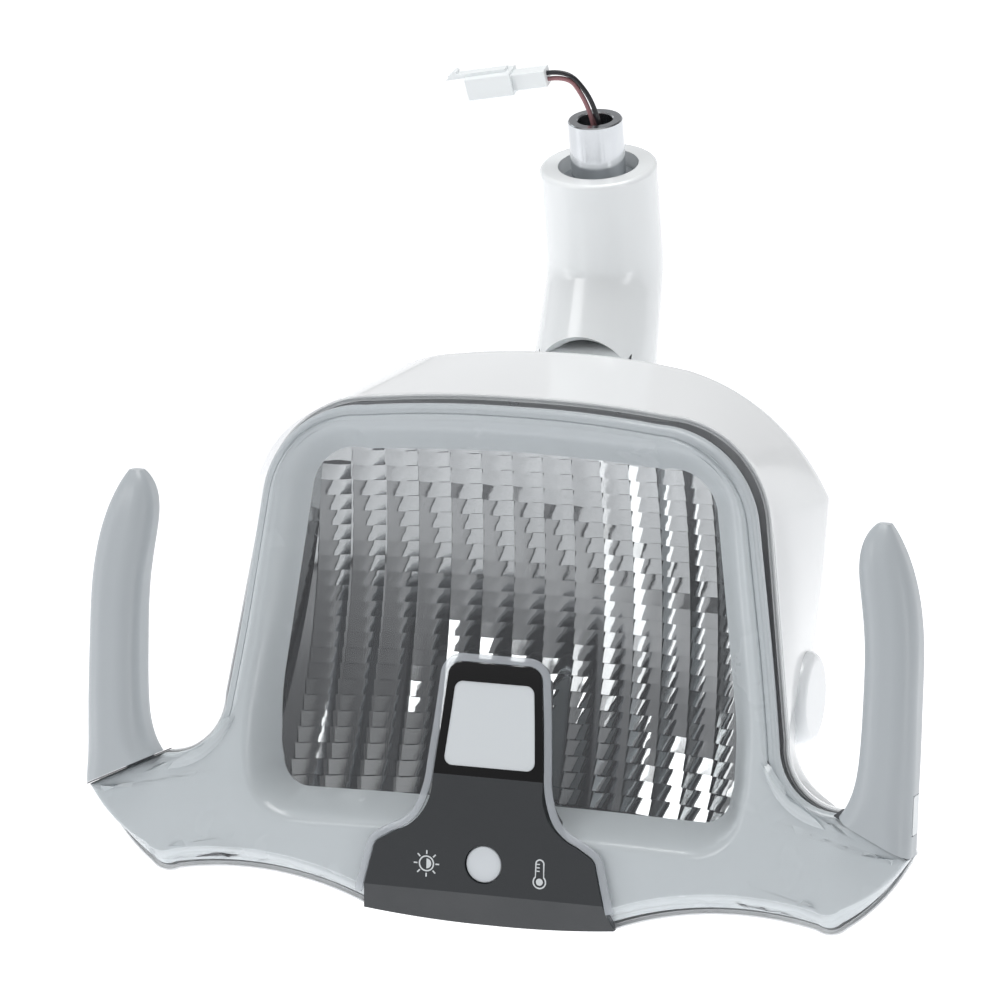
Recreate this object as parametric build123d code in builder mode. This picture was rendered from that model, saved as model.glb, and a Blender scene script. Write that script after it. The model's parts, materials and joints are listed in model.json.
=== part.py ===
from build123d import *
from math import cos, pi, radians, sin, tan
import os

os.makedirs("parts", exist_ok=True)

# Dental operating light. Millimetres. The origin is the shoulder of the mounting post,
# +Z runs up the post, the lamp looks towards -Y and is mirror-symmetric about X = 0.

# ---- driving dimensions: post and neck ----
post_r = 11.0
post_bore_r = 7.0
post_top = 24.0
flange_r = 16.0
flange_drop = 5.0
spigot_end = -34.0
neck_rim = 4.5
neck_r_top = 23.75
neck_r_low = 25.3
neck_cavity_r = 18.5
neck_bend = 34.5
bend_r = 30.0
upper_len = 41.5
lower_len = 47.6
cheek_r = 25.0
slot_half = 19.5
barrel_r = 18.3
barrel_half = 18.5
pin_r = 5.0
running_gap = 0.04

# ---- driving dimensions: head, in its own face frame (x right, y back, z up the face) ----
recline = 19.5
pivot_y = 114.0
pivot_z = 122.0
cover_t = 2.2
wing_forward = 8.5
bevel_rise = 7.0
casing_back = 82.0
wall = 2.5
window_depth = 14.0
tongue_top = 24.0
panel_proud = 0.8
sensor_z = 0.5
button_r = 7.2
button_z = -53.0
button_travel = 0.8
cap_r = 18.5
cap_y = 58.0
cap_z = 11.0
tenon_len = 22.0
tab_travel = 1.5

# ---- working directions ----
neck_axis = (0, -sin(radians(neck_bend)), -cos(radians(neck_bend)))
elbow = Vector(0, 0, -upper_len)
pivot = elbow + Vector(*neck_axis) * lower_len
back_dir = Vector(0, cos(radians(recline)), -sin(radians(recline)))
up_dir = Vector(0, sin(radians(recline)), cos(radians(recline)))
head_origin = pivot - back_dir * pivot_y - up_dir * pivot_z


def face(depth):
    """Plane parallel to the face: local x = right, local y = up the face, normal to the front."""
    return Plane(origin=head_origin + back_dir * depth, x_dir=(1, 0, 0), z_dir=-back_dir)


def side(x):
    """Plane square to X: local x = depth, local y = up the face."""
    return Plane(origin=head_origin + Vector(x, 0, 0), x_dir=back_dir, z_dir=(1, 0, 0))


def level(z):
    """Plane square to the face's upward direction: local x = right, local y = depth."""
    return Plane(origin=head_origin + up_dir * z, x_dir=(1, 0, 0), z_dir=up_dir)


def save(builder, name):
    """Label a finished sub-part and write its STEP file."""
    builder.part.label = name
    export_step(builder.part, f"parts/{name}.step")


# =====================================================================================
# Mount: post, retaining ring, grommet
# =====================================================================================
groove_top = -29.6
groove_h = 1.3
with BuildPart() as post:
    with BuildSketch(Plane.XZ):
        with BuildLine():
            Polyline(
                (post_bore_r, spigot_end), (post_r, spigot_end),
                (post_r, groove_top - groove_h), (post_r - 1, groove_top - groove_h),
                (post_r - 1, groove_top), (post_r, groove_top),
                (post_r, -flange_drop), (flange_r, -flange_drop), (flange_r, -1.4),
                (post_r + 2.6, -1.4), (post_r + 2.6, 0), (post_r, 0),
                (post_r, post_top), (post_bore_r, post_top), close=True,
            )
        make_face()
    revolve(axis=Axis.Z)
    top_ring = post.edges().filter_by(GeomType.CIRCLE).group_by(Axis.Z)[-1]
    chamfer(top_ring, 0.5)
    rim_edges = post.edges().filter_by(GeomType.CIRCLE).filter_by(lambda e: abs(e.radius - flange_r) < 0.1)
    chamfer(rim_edges, 0.4)
save(post, "post")

with BuildPart() as retaining_ring:
    with BuildSketch(Plane.XY.offset(groove_top - groove_h + 0.05)):
        Circle(14.0)
        Circle(post_r - 0.9, mode=Mode.SUBTRACT)
        with Locations((0, -13)):
            Rectangle(6, 10, mode=Mode.SUBTRACT)
    extrude(amount=groove_h - 0.1)
save(retaining_ring, "retaining_ring")

wire_r = 0.95
grommet_low = 2.0
grommet_high = 8.0
with BuildPart() as cable_grommet:
    with BuildSketch(Plane.XY.offset(grommet_low)):
        Circle(post_bore_r)
    extrude(amount=grommet_high - grommet_low)
    chamfer(cable_grommet.edges().group_by(Axis.Z)[-1], 0.8)
save(cable_grommet, "cable_grommet")

# ---- wires: two cores side by side, arching out of the bore to the connector ----
plug_end = Vector(-18.5, -0.4, 41.6)
plug_dir = Vector(-1.0, -0.05, -0.16).normalized()
plug_plane = Plane(origin=plug_end, x_dir=Vector(0, 0, 1).cross(plug_dir), z_dir=plug_dir)
core_gap = 1.25


def wire_route(side_sign):
    """Route of one core: the pair's middle line, moved half the pair's pitch to one side."""
    middle = [(1.0, 8.0), (1.0, 16.5), (-0.4, 26.2), (-3.8, 35.0)]
    outward = [(1.0, 0.0), (1.0, 0.05), (0.97, 0.25), (0.82, 0.57)]
    points = []
    for (x, z), (out_x, out_z) in zip(middle, outward):
        points.append((x + side_sign * core_gap * out_x, 0.0, z + side_sign * core_gap * out_z))
    end = plug_end + plug_plane.y_dir * (side_sign * core_gap)
    before = end - plug_dir * 8.5
    points.append((before.X, before.Y, before.Z))
    points.append((end.X, end.Y, end.Z))
    return points


def corner_radii(route):
    """Arc radius at each inner point: 0.45 of the shorter run over tan(half the turn)."""
    points = [Vector(*p) for p in route]
    radii = []
    for before, here, after in zip(points, points[1:], points[2:]):
        run_in = here - before
        run_out = after - here
        half_turn = radians(run_in.get_angle(run_out)) / 2
        radii.append(0.45 * min(run_in.length, run_out.length) / tan(half_turn))
    return radii


def make_wire(name, side_sign):
    route = wire_route(side_sign)
    radii = corner_radii(route)
    print(name, "radii", [round(r, 1) for r in radii])
    with BuildPart() as wire:
        with BuildLine() as path:
            FilletPolyline(*route, radius=radii)
        with BuildSketch(Plane(origin=route[0], x_dir=(1, 0, 0), z_dir=(0, 0, 1))):
            Circle(wire_r)
        sweep()
    length = sum(edge.length for edge in path.edges())
    print(name, "length", round(length, 1), "volume over section", round(wire.part.volume / (pi * wire_r**2), 1))
    save(wire, name)


make_wire("wire_black", 1)
make_wire("wire_red", -1)

# ---- two-way connector on the far end of the wires ----
rear_len = 14.0
front_len = 19.0
with BuildPart() as connector:
    with BuildSketch(plug_plane):
        RectangleRounded(7.4, 7.0, 0.6)
    extrude(amount=rear_len)
    with BuildSketch(plug_plane.offset(rear_len)):
        RectangleRounded(11.0, 9.4, 0.8)
    extrude(amount=front_len)
    with BuildSketch(plug_plane.offset(rear_len + front_len)):
        Rectangle(8.6, 6.6)
    extrude(amount=-front_len + 4, mode=Mode.SUBTRACT)
    # latch arm along the top, ending in a hook beyond the mouth
    with BuildSketch(plug_plane.offset(rear_len + 2)):
        with Locations((0, 5.1)):
            Rectangle(4.4, 1.8)
    extrude(amount=front_len + 5.5)
    with BuildSketch(Plane(origin=plug_end, x_dir=plug_dir, z_dir=-plug_plane.x_dir)):
        with BuildLine():
            hook_x = rear_len + front_len + 3.5
            Polyline((hook_x, 4.2), (hook_x + 5.2, 4.2), (hook_x + 1.6, 7.6), (hook_x, 7.6), close=True)
        make_face()
    extrude(amount=2.2, both=True)
save(connector, "connector")

with BuildPart() as connector_pins:
    with BuildSketch(plug_plane.offset(rear_len + 4)):
        with GridLocations(4.2, 0, 2, 1):
            RectangleRounded(1.2, 1.2, 0.3)
    extrude(amount=12)
save(connector_pins, "connector_pins")

# =====================================================================================
# Neck
# =====================================================================================
bend_cut = bend_r * tan(radians(neck_bend / 2))
bend_centre = Vector(0, -bend_r, -upper_len + bend_cut)
lower_start = elbow + Vector(*neck_axis) * bend_cut
lower_plane = Plane(origin=lower_start, x_dir=(1, 0, 0), z_dir=neck_axis)
pivot_plane = Plane(origin=pivot, x_dir=(1, 0, 0), z_dir=neck_axis)
across = Plane(origin=pivot, x_dir=(0, 1, 0), z_dir=(1, 0, 0))


def bent_tube(r_top, r_low, z_top, below):
    """Solid tube: straight, a bend about X, then a slightly flared straight to the pivot and below."""
    with BuildPart() as tube:
        with BuildSketch(Plane.XY.offset(z_top)):
            Circle(r_top)
        extrude(amount=-(z_top + upper_len - bend_cut))
        with BuildSketch(Plane.XY.offset(-upper_len + bend_cut)):
            Circle(r_top)
        revolve(axis=Axis(bend_centre, (-1, 0, 0)), revolution_arc=neck_bend)
        with BuildSketch(lower_plane):
            Circle(r_top)
        with BuildSketch(pivot_plane):
            Circle(r_low)
        loft()
        with BuildSketch(pivot_plane):
            Circle(r_low)
        extrude(amount=below)
    return tube.part


neck_outer = bent_tube(neck_r_top, neck_r_low, neck_rim, cheek_r)
neck_inner = bent_tube(neck_cavity_r, neck_cavity_r, -28.0, cheek_r + 2)
below_pivot = 60
with BuildPart() as cheek_limit:
    with BuildSketch(pivot_plane):
        Rectangle(120, 120)
    extrude(amount=-200)
    with BuildSketch(across):
        Circle(cheek_r)
    extrude(amount=60, both=True)

with BuildPart() as neck_shell:
    add(neck_outer)
    add(cheek_limit.part, mode=Mode.INTERSECT)
    rim = neck_shell.edges().filter_by(GeomType.CIRCLE).group_by(Axis.Z)[-1]
    fillet(rim, 2.0)
    add(neck_inner, mode=Mode.SUBTRACT)
    # seat of the flange and bore of the swivel bush
    with BuildSketch(Plane.XY.offset(neck_rim)):
        Circle(flange_r + 0.3)
    extrude(amount=-(neck_rim + flange_drop + 1.6), mode=Mode.SUBTRACT)
    with BuildSketch(Plane.XY):
        Circle(post_r + 2)
    extrude(amount=-29, mode=Mode.SUBTRACT)
    # fork: slot between the cheeks with an arched top, room for the knuckle, round cheek ends
    with BuildSketch(Plane(origin=pivot, x_dir=(1, 0, 0), z_dir=Vector(*neck_axis).cross(Vector(1, 0, 0)))):
        with BuildLine():
            Line((-slot_half, 5), (-slot_half, -below_pivot))
            Line((-slot_half, -below_pivot), (slot_half, -below_pivot))
            Line((slot_half, -below_pivot), (slot_half, 5))
            ThreePointArc((slot_half, 5), (0, 15), (-slot_half, 5))
        make_face()
    extrude(amount=40, both=True, mode=Mode.SUBTRACT)
    with BuildSketch(across):
        Circle(barrel_r + 0.7)
    extrude(amount=slot_half, both=True, mode=Mode.SUBTRACT)
    with BuildSketch(across):
        Circle(pin_r)
    extrude(amount=40, both=True, mode=Mode.SUBTRACT)
    # shallow seats for the end caps
    for sign in (-1, 1):
        with BuildSketch(across.offset(sign * 23.0)):
            Circle(8.2)
        extrude(amount=sign * 6, mode=Mode.SUBTRACT)
save(neck_shell, "neck_shell")

with BuildPart() as swivel_bush:
    with BuildSketch(Plane.XZ):
        with BuildLine():
            Polyline(
                (post_r + running_gap, -28), (post_r + 2, -28), (post_r + 2, -flange_drop - 1.6),
                (flange_r - 0.2, -flange_drop - 1.6), (flange_r - 0.2, -flange_drop - 0.1),
                (post_r + running_gap, -flange_drop - 0.1), close=True,
            )
        make_face()
    revolve(axis=Axis.Z)
save(swivel_bush, "swivel_bush")

with BuildPart() as thrust_washer:
    with BuildSketch(Plane.XY.offset(-29.4)):
        Circle(16.5)
        Circle(post_r + 0.3, mode=Mode.SUBTRACT)
    extrude(amount=1.3)
save(thrust_washer, "thrust_washer")

with BuildPart() as tilt_pin:
    with BuildSketch(across):
        Circle(pin_r)
    extrude(amount=22.6, both=True)
    chamfer(tilt_pin.edges().filter_by(GeomType.CIRCLE), 0.5)
save(tilt_pin, "tilt_pin")

with BuildPart() as friction_washers:
    for sign in (-1, 1):
        with BuildSketch(across.offset(sign * (barrel_half + 0.15))):
            Circle(15)
            Circle(pin_r, mode=Mode.SUBTRACT)
        extrude(amount=sign * (slot_half - barrel_half - 0.15))
save(friction_washers, "friction_washers")

with BuildPart() as pin_caps:
    for sign in (-1, 1):
        with BuildSketch(across.offset(sign * 23.0)):
            Circle(8.0)
        extrude(amount=sign * 1.6)
    chamfer(pin_caps.edges().filter_by(GeomType.CIRCLE), 0.4)
save(pin_caps, "pin_caps")

# =====================================================================================
# Head: knuckle and casing
# =====================================================================================
stalk_half = 15.0
foot_t = 5.0
with BuildPart() as knuckle:
    with BuildSketch(across):
        Circle(barrel_r)
    extrude(amount=barrel_half, both=True)
    fillet(knuckle.edges().filter_by(GeomType.CIRCLE), 1.5)
    with BuildSketch(side(0)):
        with BuildLine():
            Polyline(
                (casing_back, 96), (pivot_y - 6, 106), (pivot_y, 108), (pivot_y, 134),
                (pivot_y - 14, 130), (casing_back + 3, 127), (casing_back, 127), close=True,
            )
        make_face()
    extrude(amount=stalk_half, both=True)
    with BuildSketch(face(casing_back)):
        with Locations((0, 104)):
            RectangleRounded(60, 40, 8)
    extrude(amount=-foot_t)
    with BuildSketch(across):
        Circle(pin_r + running_gap)
    extrude(amount=40, both=True, mode=Mode.SUBTRACT)
    with BuildSketch(face(casing_back)):
        with Locations((0, 104)):
            with GridLocations(44, 26, 2, 2):
                Circle(2.6)
    extrude(amount=-foot_t, mode=Mode.SUBTRACT)
save(knuckle, "knuckle")


def casing_section(depth, points, radius, inset):
    """Closed symmetric cross-section of the rear casing at one depth."""
    left = [(-x, z) for x, z in reversed(points)]
    with BuildSketch(face(depth)) as section:
        with BuildLine():
            Polyline(*points, *left, close=True)
        make_face()
        fillet(section.vertices(), radius)
        if inset:
            offset(amount=-inset)
    return section.sketch


# each section runs clockwise from the top: top corner, shoulder, side, lower side, bottom corner
front_section = [(52, 124.0), (89, 111.0), (103.0, 84.0), (113.5, 0), (100, -58)]
rear_section = [(54, 137.0), (97, 110.5), (112.5, 88.0), (106.0, 0), (84, -46)]
lip_section = [(52, 129.5), (91, 106.0), (105.5, 84.0), (99.0, 0), (78, -39)]
section_depth = (2.0, 72.0, casing_back)


def casing_loft(inset, back_inset):
    """Main hollow body of the casing, as a solid."""
    with BuildPart() as body:
        add(casing_section(section_depth[0], front_section, 16, inset))
        add(casing_section(section_depth[1], rear_section, 16, inset))
        loft(ruled=True)
        add(casing_section(section_depth[1], rear_section, 16, inset))
        add(casing_section(section_depth[2] - back_inset, lip_section, 16, inset))
        loft(ruled=True)
    return body.part


def head_outline(rise=0.0):
    """Right half of the face outline: crown, side, notch, seam, wing end, hollow bottom; then mirrored."""
    with BuildLine() as half:
        ThreePointArc((0, 126), (31, 125.3), (60, 122.8))
        ThreePointArc((60, 122.8), (92, 108.5), (103, 86))
        Line((103, 86), (115, 2))
        ThreePointArc((115, 2), (121.5, -15), (137, -22))
        Line((137, -22), (167, -36.5))
        ThreePointArc((167, -36.5), (158, -52 + rise * 0.4), (142.5, -67 + rise))
        ThreePointArc((142.5, -67 + rise), (137, -70 + rise), (130, -68.8 + rise))
        ThreePointArc((130, -68.8 + rise), (98, -66 + rise), (51, -75.7 + rise))
        ThreePointArc((51, -75.7 + rise), (25, -78 + rise), (0, -78.6 + rise))
        mirror(about=Plane.YZ)
    return half.line


def front_region(shift, back_top, back_low):
    """Side-view region behind the face surface moved back by shift, up to a slanted back line."""
    top = 150
    low = -95
    with BuildLine() as edge:
        Line((shift, top), (shift, 42))
        Spline(
            (shift, 42), (shift - 2.2, 6), (shift - 6.6, -24), (shift - wing_forward, -52),
            tangents=[(0, -1), (0, -1)],
        )
        Line((shift - wing_forward, -52), (shift - wing_forward, low))
        Line((shift - wing_forward, low), (back_low, low))
        Line((back_low, low), (back_top, top))
        Line((back_top, top), (shift, top))
    return edge.line


def behind_face(shift, back_top, back_low):
    """Wide prism of the side-view region, for cutting blocks to the face surface."""
    with BuildPart() as prism:
        with BuildSketch(side(0)):
            add(front_region(shift, back_top, back_low))
            make_face()
        extrude(amount=200, both=True)
    return prism.part


def face_block(inset, shift, rise, back_top=60, back_low=60):
    """Solid with the face outline pulled in by inset, between the face surface and the back line."""
    with BuildPart() as block:
        with BuildSketch(face(70)):
            add(head_outline(rise))
            make_face()
            if inset:
                offset(amount=-inset)
        extrude(amount=90)
        add(behind_face(shift, back_top, back_low), mode=Mode.INTERSECT)
    return block.part


def bevelled_block(back_top, back_low):
    """As face_block at full size, with the lower edge bevelled back from the front surface."""
    with BuildPart() as block:
        with BuildSketch(face(40)):
            add(head_outline())
            make_face()
        extrude(amount=40 - 1)
        with BuildSketch(face(1)):
            add(head_outline())
            make_face()
        with BuildSketch(face(-10)):
            add(head_outline(bevel_rise))
            make_face()
        loft(ruled=True)
        add(behind_face(0, back_top, back_low), mode=Mode.INTERSECT)
    return block.part


def prism_between(sketch_maker, near, far):
    """Prism of a face-plane sketch from depth near back to depth far."""
    with BuildPart() as prism:
        add(sketch_maker(near))
        extrude(amount=far - near, dir=back_dir)
    return prism.part


def polygon_sketch(depth, points, radius, grow=0.0):
    """Symmetric rounded polygon in the face plane at a depth, grown outwards by grow."""
    left = [(-x, z) for x, z in reversed(points)]
    with BuildSketch(face(depth)) as sketch:
        with BuildLine():
            Polyline(*points, *left, close=True)
        make_face()
        fillet(sketch.vertices(), radius)
        if grow:
            offset(amount=grow)
    return sketch.sketch


def panel_sketch(depth, grow=0.0):
    """Outline of the control panel: tongue, flared shoulders, base."""
    with BuildSketch(face(depth)) as sketch:
        with BuildLine():
            Line((0, tongue_top), (14, tongue_top))
            ThreePointArc((14, tongue_top), (17.5, tongue_top - 1.6), (19, tongue_top - 5))
            Line((19, tongue_top - 5), (22.4, -22))
            ThreePointArc((22.4, -22), (26.5, -35.5), (37, -43))
            Line((37, -43), (42, -46))
            ThreePointArc((42, -46), (44.2, -48), (45.2, -51))
            Line((45.2, -51), (51, -75.8))
            ThreePointArc((51, -75.8), (25, -78.2), (0, -78.8))
            mirror(about=Plane.YZ)
        make_face()
        if grow:
            offset(amount=grow)
    return sketch.sketch


part_top = 20.3
part_low = 0.2
window_top = [(77, 104.5), (93, -10), (89, -33.5)]
funnel_mouth = [(88, 115), (103.5, -12), (99, -45)]
mirror_edge = [(82, 110), (97.5, -10), (93, -38)]
mouth_depth = -9.0
panel_hole = 0.35
tenon_x = 148.0
tenon_w = 10.0
tenon_y = (0.5, 5.0)
tenon_low = -48.0

panel_cut = prism_between(lambda d: panel_sketch(d, panel_hole), -20, 30)
tongue_rim = prism_between(lambda d: panel_sketch(d, 3.0), -20, 30)


def tenon_slots(gap):
    """Prisms of both handle tenons, grown by gap."""
    with BuildPart() as slots:
        for sign in (-1, 1):
            with BuildSketch(level(tenon_low)):
                with Locations((sign * tenon_x, sum(tenon_y) / 2)):
                    Rectangle(tenon_w + 2 * gap, tenon_y[1] - tenon_y[0] + 2 * gap)
            extrude(amount=-10 - tenon_low)
    return slots.part


# ---- clear front cover ----
rim_block = face_block(0, -1.0, bevel_rise, part_top, part_low)
cover_inner = face_block(cover_t, cover_t, bevel_rise)
slots = tenon_slots(0.3)
with BuildPart() as front_cover:
    add(bevelled_block(part_top, part_low))
    add(rim_block.intersect(tongue_rim))
    add(cover_inner, mode=Mode.SUBTRACT)
    add(panel_cut, mode=Mode.SUBTRACT)
    add(slots, mode=Mode.SUBTRACT)
save(front_cover, "front_cover")

# ---- grey bezel: plate behind the cover, with a funnel back to the window edge ----
plate_shift = cover_t + 0.6
plate_t = 2.4


def funnel(grow):
    with BuildPart() as cone:
        add(polygon_sketch(mouth_depth, funnel_mouth, 18, grow))
        add(polygon_sketch(window_depth, window_top, 16, grow))
        loft(ruled=True)
    return cone.part


bezel_plate = face_block(cover_t + 0.5, plate_shift, bevel_rise + 1)
bezel_behind = face_block(cover_t, plate_shift + plate_t, bevel_rise)
funnel_outer = funnel(2.2)
funnel_inner = funnel(0)
with BuildPart() as bezel:
    add(bezel_plate)
    add(bezel_behind, mode=Mode.SUBTRACT)
    add(funnel_outer.intersect(bezel_plate))
    add(funnel_inner, mode=Mode.SUBTRACT)
    add(panel_cut, mode=Mode.SUBTRACT)
save(bezel, "bezel")

# ---- rear casing: main body, wing trays, cap seats ----
wing_back = 30.0
tray_zone = 4.0


def wing_trays(inset, rise, back):
    """Solid under the wings, from the parting surface back to the given depth."""
    with BuildPart() as trays:
        with BuildSketch(face(back)):
            add(head_outline(rise))
            make_face()
            if inset:
                offset(amount=-inset)
        extrude(amount=back + 20)
        with BuildSketch(level(-100)):
            Rectangle(400, 200)
        extrude(amount=100 + tray_zone, mode=Mode.INTERSECT)
    return trays.part


front_space = behind_face(-40, part_top, part_low)
with BuildPart() as rear_casing:
    add(casing_loft(0, 0))
    add(wing_trays(0, 0, wing_back))
    add(casing_loft(wall, wall), mode=Mode.SUBTRACT)
    add(wing_trays(wall, bevel_rise, wing_back - wall), mode=Mode.SUBTRACT)
    add(front_space, mode=Mode.SUBTRACT)
    with BuildSketch(face(casing_back + 1)):
        with Locations((0, 104)):
            with GridLocations(44, 26, 2, 2):
                Circle(2.6)
    extrude(amount=8, mode=Mode.SUBTRACT)
    for sign in (-1, 1):
        with BuildSketch(side(sign * 106)):
            with Locations((cap_y, cap_z)):
                Circle(cap_r + 0.1)
        extrude(amount=sign * 12, mode=Mode.SUBTRACT)
save(rear_casing, "rear_casing")

for sign, side_name in ((-1, "left"), (1, "right")):
    with BuildPart() as side_cap:
        with BuildSketch(side(sign * 106)):
            with Locations((cap_y, cap_z)):
                Circle(cap_r)
        extrude(amount=sign * 6.4)
        outer_edge = side_cap.edges().filter_by(GeomType.CIRCLE).sort_by(Axis.X)[-1 if sign > 0 else 0]
        fillet(outer_edge, 4.2)
    save(side_cap, f"side_cap_{side_name}")

# ---- faceted mirror bowl ----
mirror_r = 190.0
mirror_depth = 60.0
mirror_t = 2.4
mirror_centre = head_origin + up_dir * 36 + back_dir * (mirror_depth - mirror_r)


def mirror_ball(radius):
    with BuildPart() as ball:
        with Locations(mirror_centre):
            Sphere(radius)
    return ball.part


bowl_outer = prism_between(lambda d: polygon_sketch(d, mirror_edge, 14, mirror_t), window_depth + 1.5, 70)
bowl_inner = prism_between(lambda d: polygon_sketch(d, mirror_edge, 14), window_depth, 70)
with BuildPart() as reflector:
    add(bowl_outer.intersect(mirror_ball(mirror_r + mirror_t)))
    add(bowl_inner.intersect(mirror_ball(mirror_r)), mode=Mode.SUBTRACT)
save(reflector, "reflector")

# =====================================================================================
# Control panel, sensor and button
# =====================================================================================
panel_block = prism_between(panel_sketch, -20, 20)
panel_lip = -67.0
with BuildPart() as panel_hollow:
    add(prism_between(lambda d: panel_sketch(d, -2.4), -20, 30))
    with BuildSketch(level(panel_lip)):
        Rectangle(200, 200)
    extrude(amount=-40, mode=Mode.SUBTRACT)
    add(behind_face(2.4 - panel_proud, 61, 61), mode=Mode.INTERSECT)
sensor_outline = [(15.9, sensor_z + 16.2), (18.6, sensor_z - 16.2)]
band_low = -19.3
pocket = 1.3


def cut_to_layer(shift_near, shift_far):
    """Trim the part in work to the sheet between two depths behind the face surface."""
    add(behind_face(shift_near, 60, 60), mode=Mode.INTERSECT)
    add(behind_face(shift_far, 61, 61), mode=Mode.SUBTRACT)


with BuildPart() as panel_bevel:
    with BuildSketch(side(0)):
        with BuildLine():
            Polyline((-12, -61), (2.5, -81), (-12, -90), close=True)
        make_face()
    extrude(amount=60, both=True)



def band_slab(grow):
    """Front sheet of the tongue, where the gloss band around the sensor sits."""
    with BuildPart() as slab:
        add(prism_between(lambda d: panel_sketch(d, grow), -20, 8))
        with BuildSketch(level(band_low)):
            Rectangle(80, 80)
        extrude(amount=60, mode=Mode.INTERSECT)
        cut_to_layer(-panel_proud, pocket - panel_proud)
    return slab.part


with BuildPart() as control_panel:
    add(panel_block.intersect(behind_face(-panel_proud, part_top, part_low)))
    add(panel_hollow.part, mode=Mode.SUBTRACT)
    add(panel_bevel.part, mode=Mode.SUBTRACT)
    add(band_slab(0.5), mode=Mode.SUBTRACT)
    with BuildSketch(face(-20)):
        with Locations((0, button_z)):
            Circle(button_r + 0.35)
    extrude(amount=-18, mode=Mode.SUBTRACT)
save(control_panel, "control_panel")

window_prism = prism_between(lambda d: polygon_sketch(d, sensor_outline, 3.4, 0.15), -20, 6)
pane_prism = prism_between(lambda d: polygon_sketch(d, sensor_outline, 3.3), -20, 6)
with BuildPart() as sensor_surround:
    add(band_slab(0))
    add(window_prism, mode=Mode.SUBTRACT)
save(sensor_surround, "sensor_surround")

with BuildPart() as sensor_window:
    add(pane_prism)
    cut_to_layer(0.3 - panel_proud, pocket - panel_proud)
save(sensor_window, "sensor_window")

button_face = -wing_forward - panel_proud + 0.9
button_low = -wing_forward + 2.4 - panel_proud + 1.3
with BuildPart() as power_button:
    with BuildSketch(face(button_face)):
        with Locations((0, button_z)):
            Circle(button_r)
    extrude(amount=-(button_low - button_face))
    fillet(power_button.edges().group_by(Axis.Y)[0], 0.5)
    with BuildSketch(face(button_low - 1)):
        with Locations((0, button_z)):
            Circle(button_r + 1.3)
    extrude(amount=-1)
    with BuildSketch(face(button_low)):
        with Locations((0, button_z)):
            Circle(2.2)
    extrude(amount=-0.5)
save(power_button, "power_button")

switch_top = button_low + 0.5 + button_travel + 0.1
with BuildPart() as tactile_switch:
    with BuildSketch(face(switch_top)):
        with Locations((0, button_z)):
            Circle(1.7)
    extrude(amount=-0.8)
    with BuildSketch(face(switch_top + 0.8)):
        with Locations((0, button_z)):
            Rectangle(6.2, 6.2)
    extrude(amount=-1.9)
save(tactile_switch, "tactile_switch")

board_y = switch_top + 2.7
with BuildPart() as control_board:
    with BuildSketch(face(board_y)):
        with Locations((0, -56)):
            RectangleRounded(64, 22, 2)
    extrude(amount=-1.6)
save(control_board, "control_board")

# =====================================================================================
# Light engine behind the tongue, shining back into the mirror
# =====================================================================================
engine_z = -4.0
sink_near = 4.0
sink_far = 13.0
with BuildPart() as engine_housing:
    with BuildSketch(face(3.2)):
        with Locations((0, engine_z)):
            RectangleRounded(34, 42, 3)
            RectangleRounded(30.4, 38.4, 2, mode=Mode.SUBTRACT)
    extrude(amount=-(20 - 3.2))
save(engine_housing, "engine_housing")

with BuildPart() as heat_sink:
    with BuildSketch(face(sink_near)):
        with Locations((0, engine_z)):
            RectangleRounded(30, 38, 2)
    extrude(amount=-(sink_far - sink_near))
    with BuildSketch(face(sink_near)):
        with Locations((0, engine_z)):
            with GridLocations(4, 0, 7, 1):
                Rectangle(2.2, 40)
    extrude(amount=-6, mode=Mode.SUBTRACT)
save(heat_sink, "heat_sink")

with BuildPart() as led_board:
    with BuildSketch(face(sink_far)):
        with Locations((0, engine_z)):
            RectangleRounded(29, 36, 2)
    extrude(amount=-1.6)
save(led_board, "led_board")

with BuildPart() as leds:
    with BuildSketch(face(sink_far + 1.6)):
        with Locations((0, engine_z)):
            with GridLocations(8, 8, 3, 4):
                Rectangle(3.5, 3.5)
    extrude(amount=-0.8)
save(leds, "leds")

with BuildPart() as led_lens:
    with BuildSketch(face(sink_far + 2.8)):
        with Locations((0, engine_z)):
            RectangleRounded(29, 36, 2)
    extrude(amount=-2.6)
    fillet(led_lens.edges().group_by(Axis.Y)[-1], 1.0)
save(led_lens, "led_lens")

with BuildPart() as driver_board:
    with BuildSketch(face(70)):
        with Locations((0, 30)):
            RectangleRounded(90, 50, 3)
    extrude(amount=-1.6)
    with BuildSketch(face(71.6)):
        with Locations((0, 30)):
            with GridLocations(24, 18, 3, 2):
                Rectangle(12, 9)
    extrude(amount=-4.5)
save(driver_board, "driver_board")

with BuildPart() as back_frame:
    with BuildSketch(face(casing_back - wall - 2.0)):
        with Locations((0, 96)):
            RectangleRounded(120, 34, 5)
        with Locations((0, 104)):
            with GridLocations(44, 26, 2, 2):
                Circle(2.1, mode=Mode.SUBTRACT)
    extrude(amount=-2.0)
save(back_frame, "back_frame")

with BuildPart() as knuckle_screws:
    with BuildSketch(face(casing_back + foot_t)):
        with Locations((0, 104)):
            with GridLocations(44, 26, 2, 2):
                Circle(4.2)
                RegularPolygon(2.0, 6, mode=Mode.SUBTRACT)
    extrude(amount=-1.6)
    with BuildSketch(face(casing_back + foot_t)):
        with Locations((0, 104)):
            with GridLocations(44, 26, 2, 2):
                Circle(2.0)
    extrude(amount=9)
save(knuckle_screws, "knuckle_screws")

with BuildPart() as casing_screws:
    with BuildSketch(face(casing_back)):
        with Locations((-70, 70), (70, 70), (-60, -20), (60, -20)):
            Circle(3.0)
            RegularPolygon(1.4, 6, mode=Mode.SUBTRACT)
    extrude(amount=-1.4)
save(casing_screws, "casing_screws")

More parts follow.
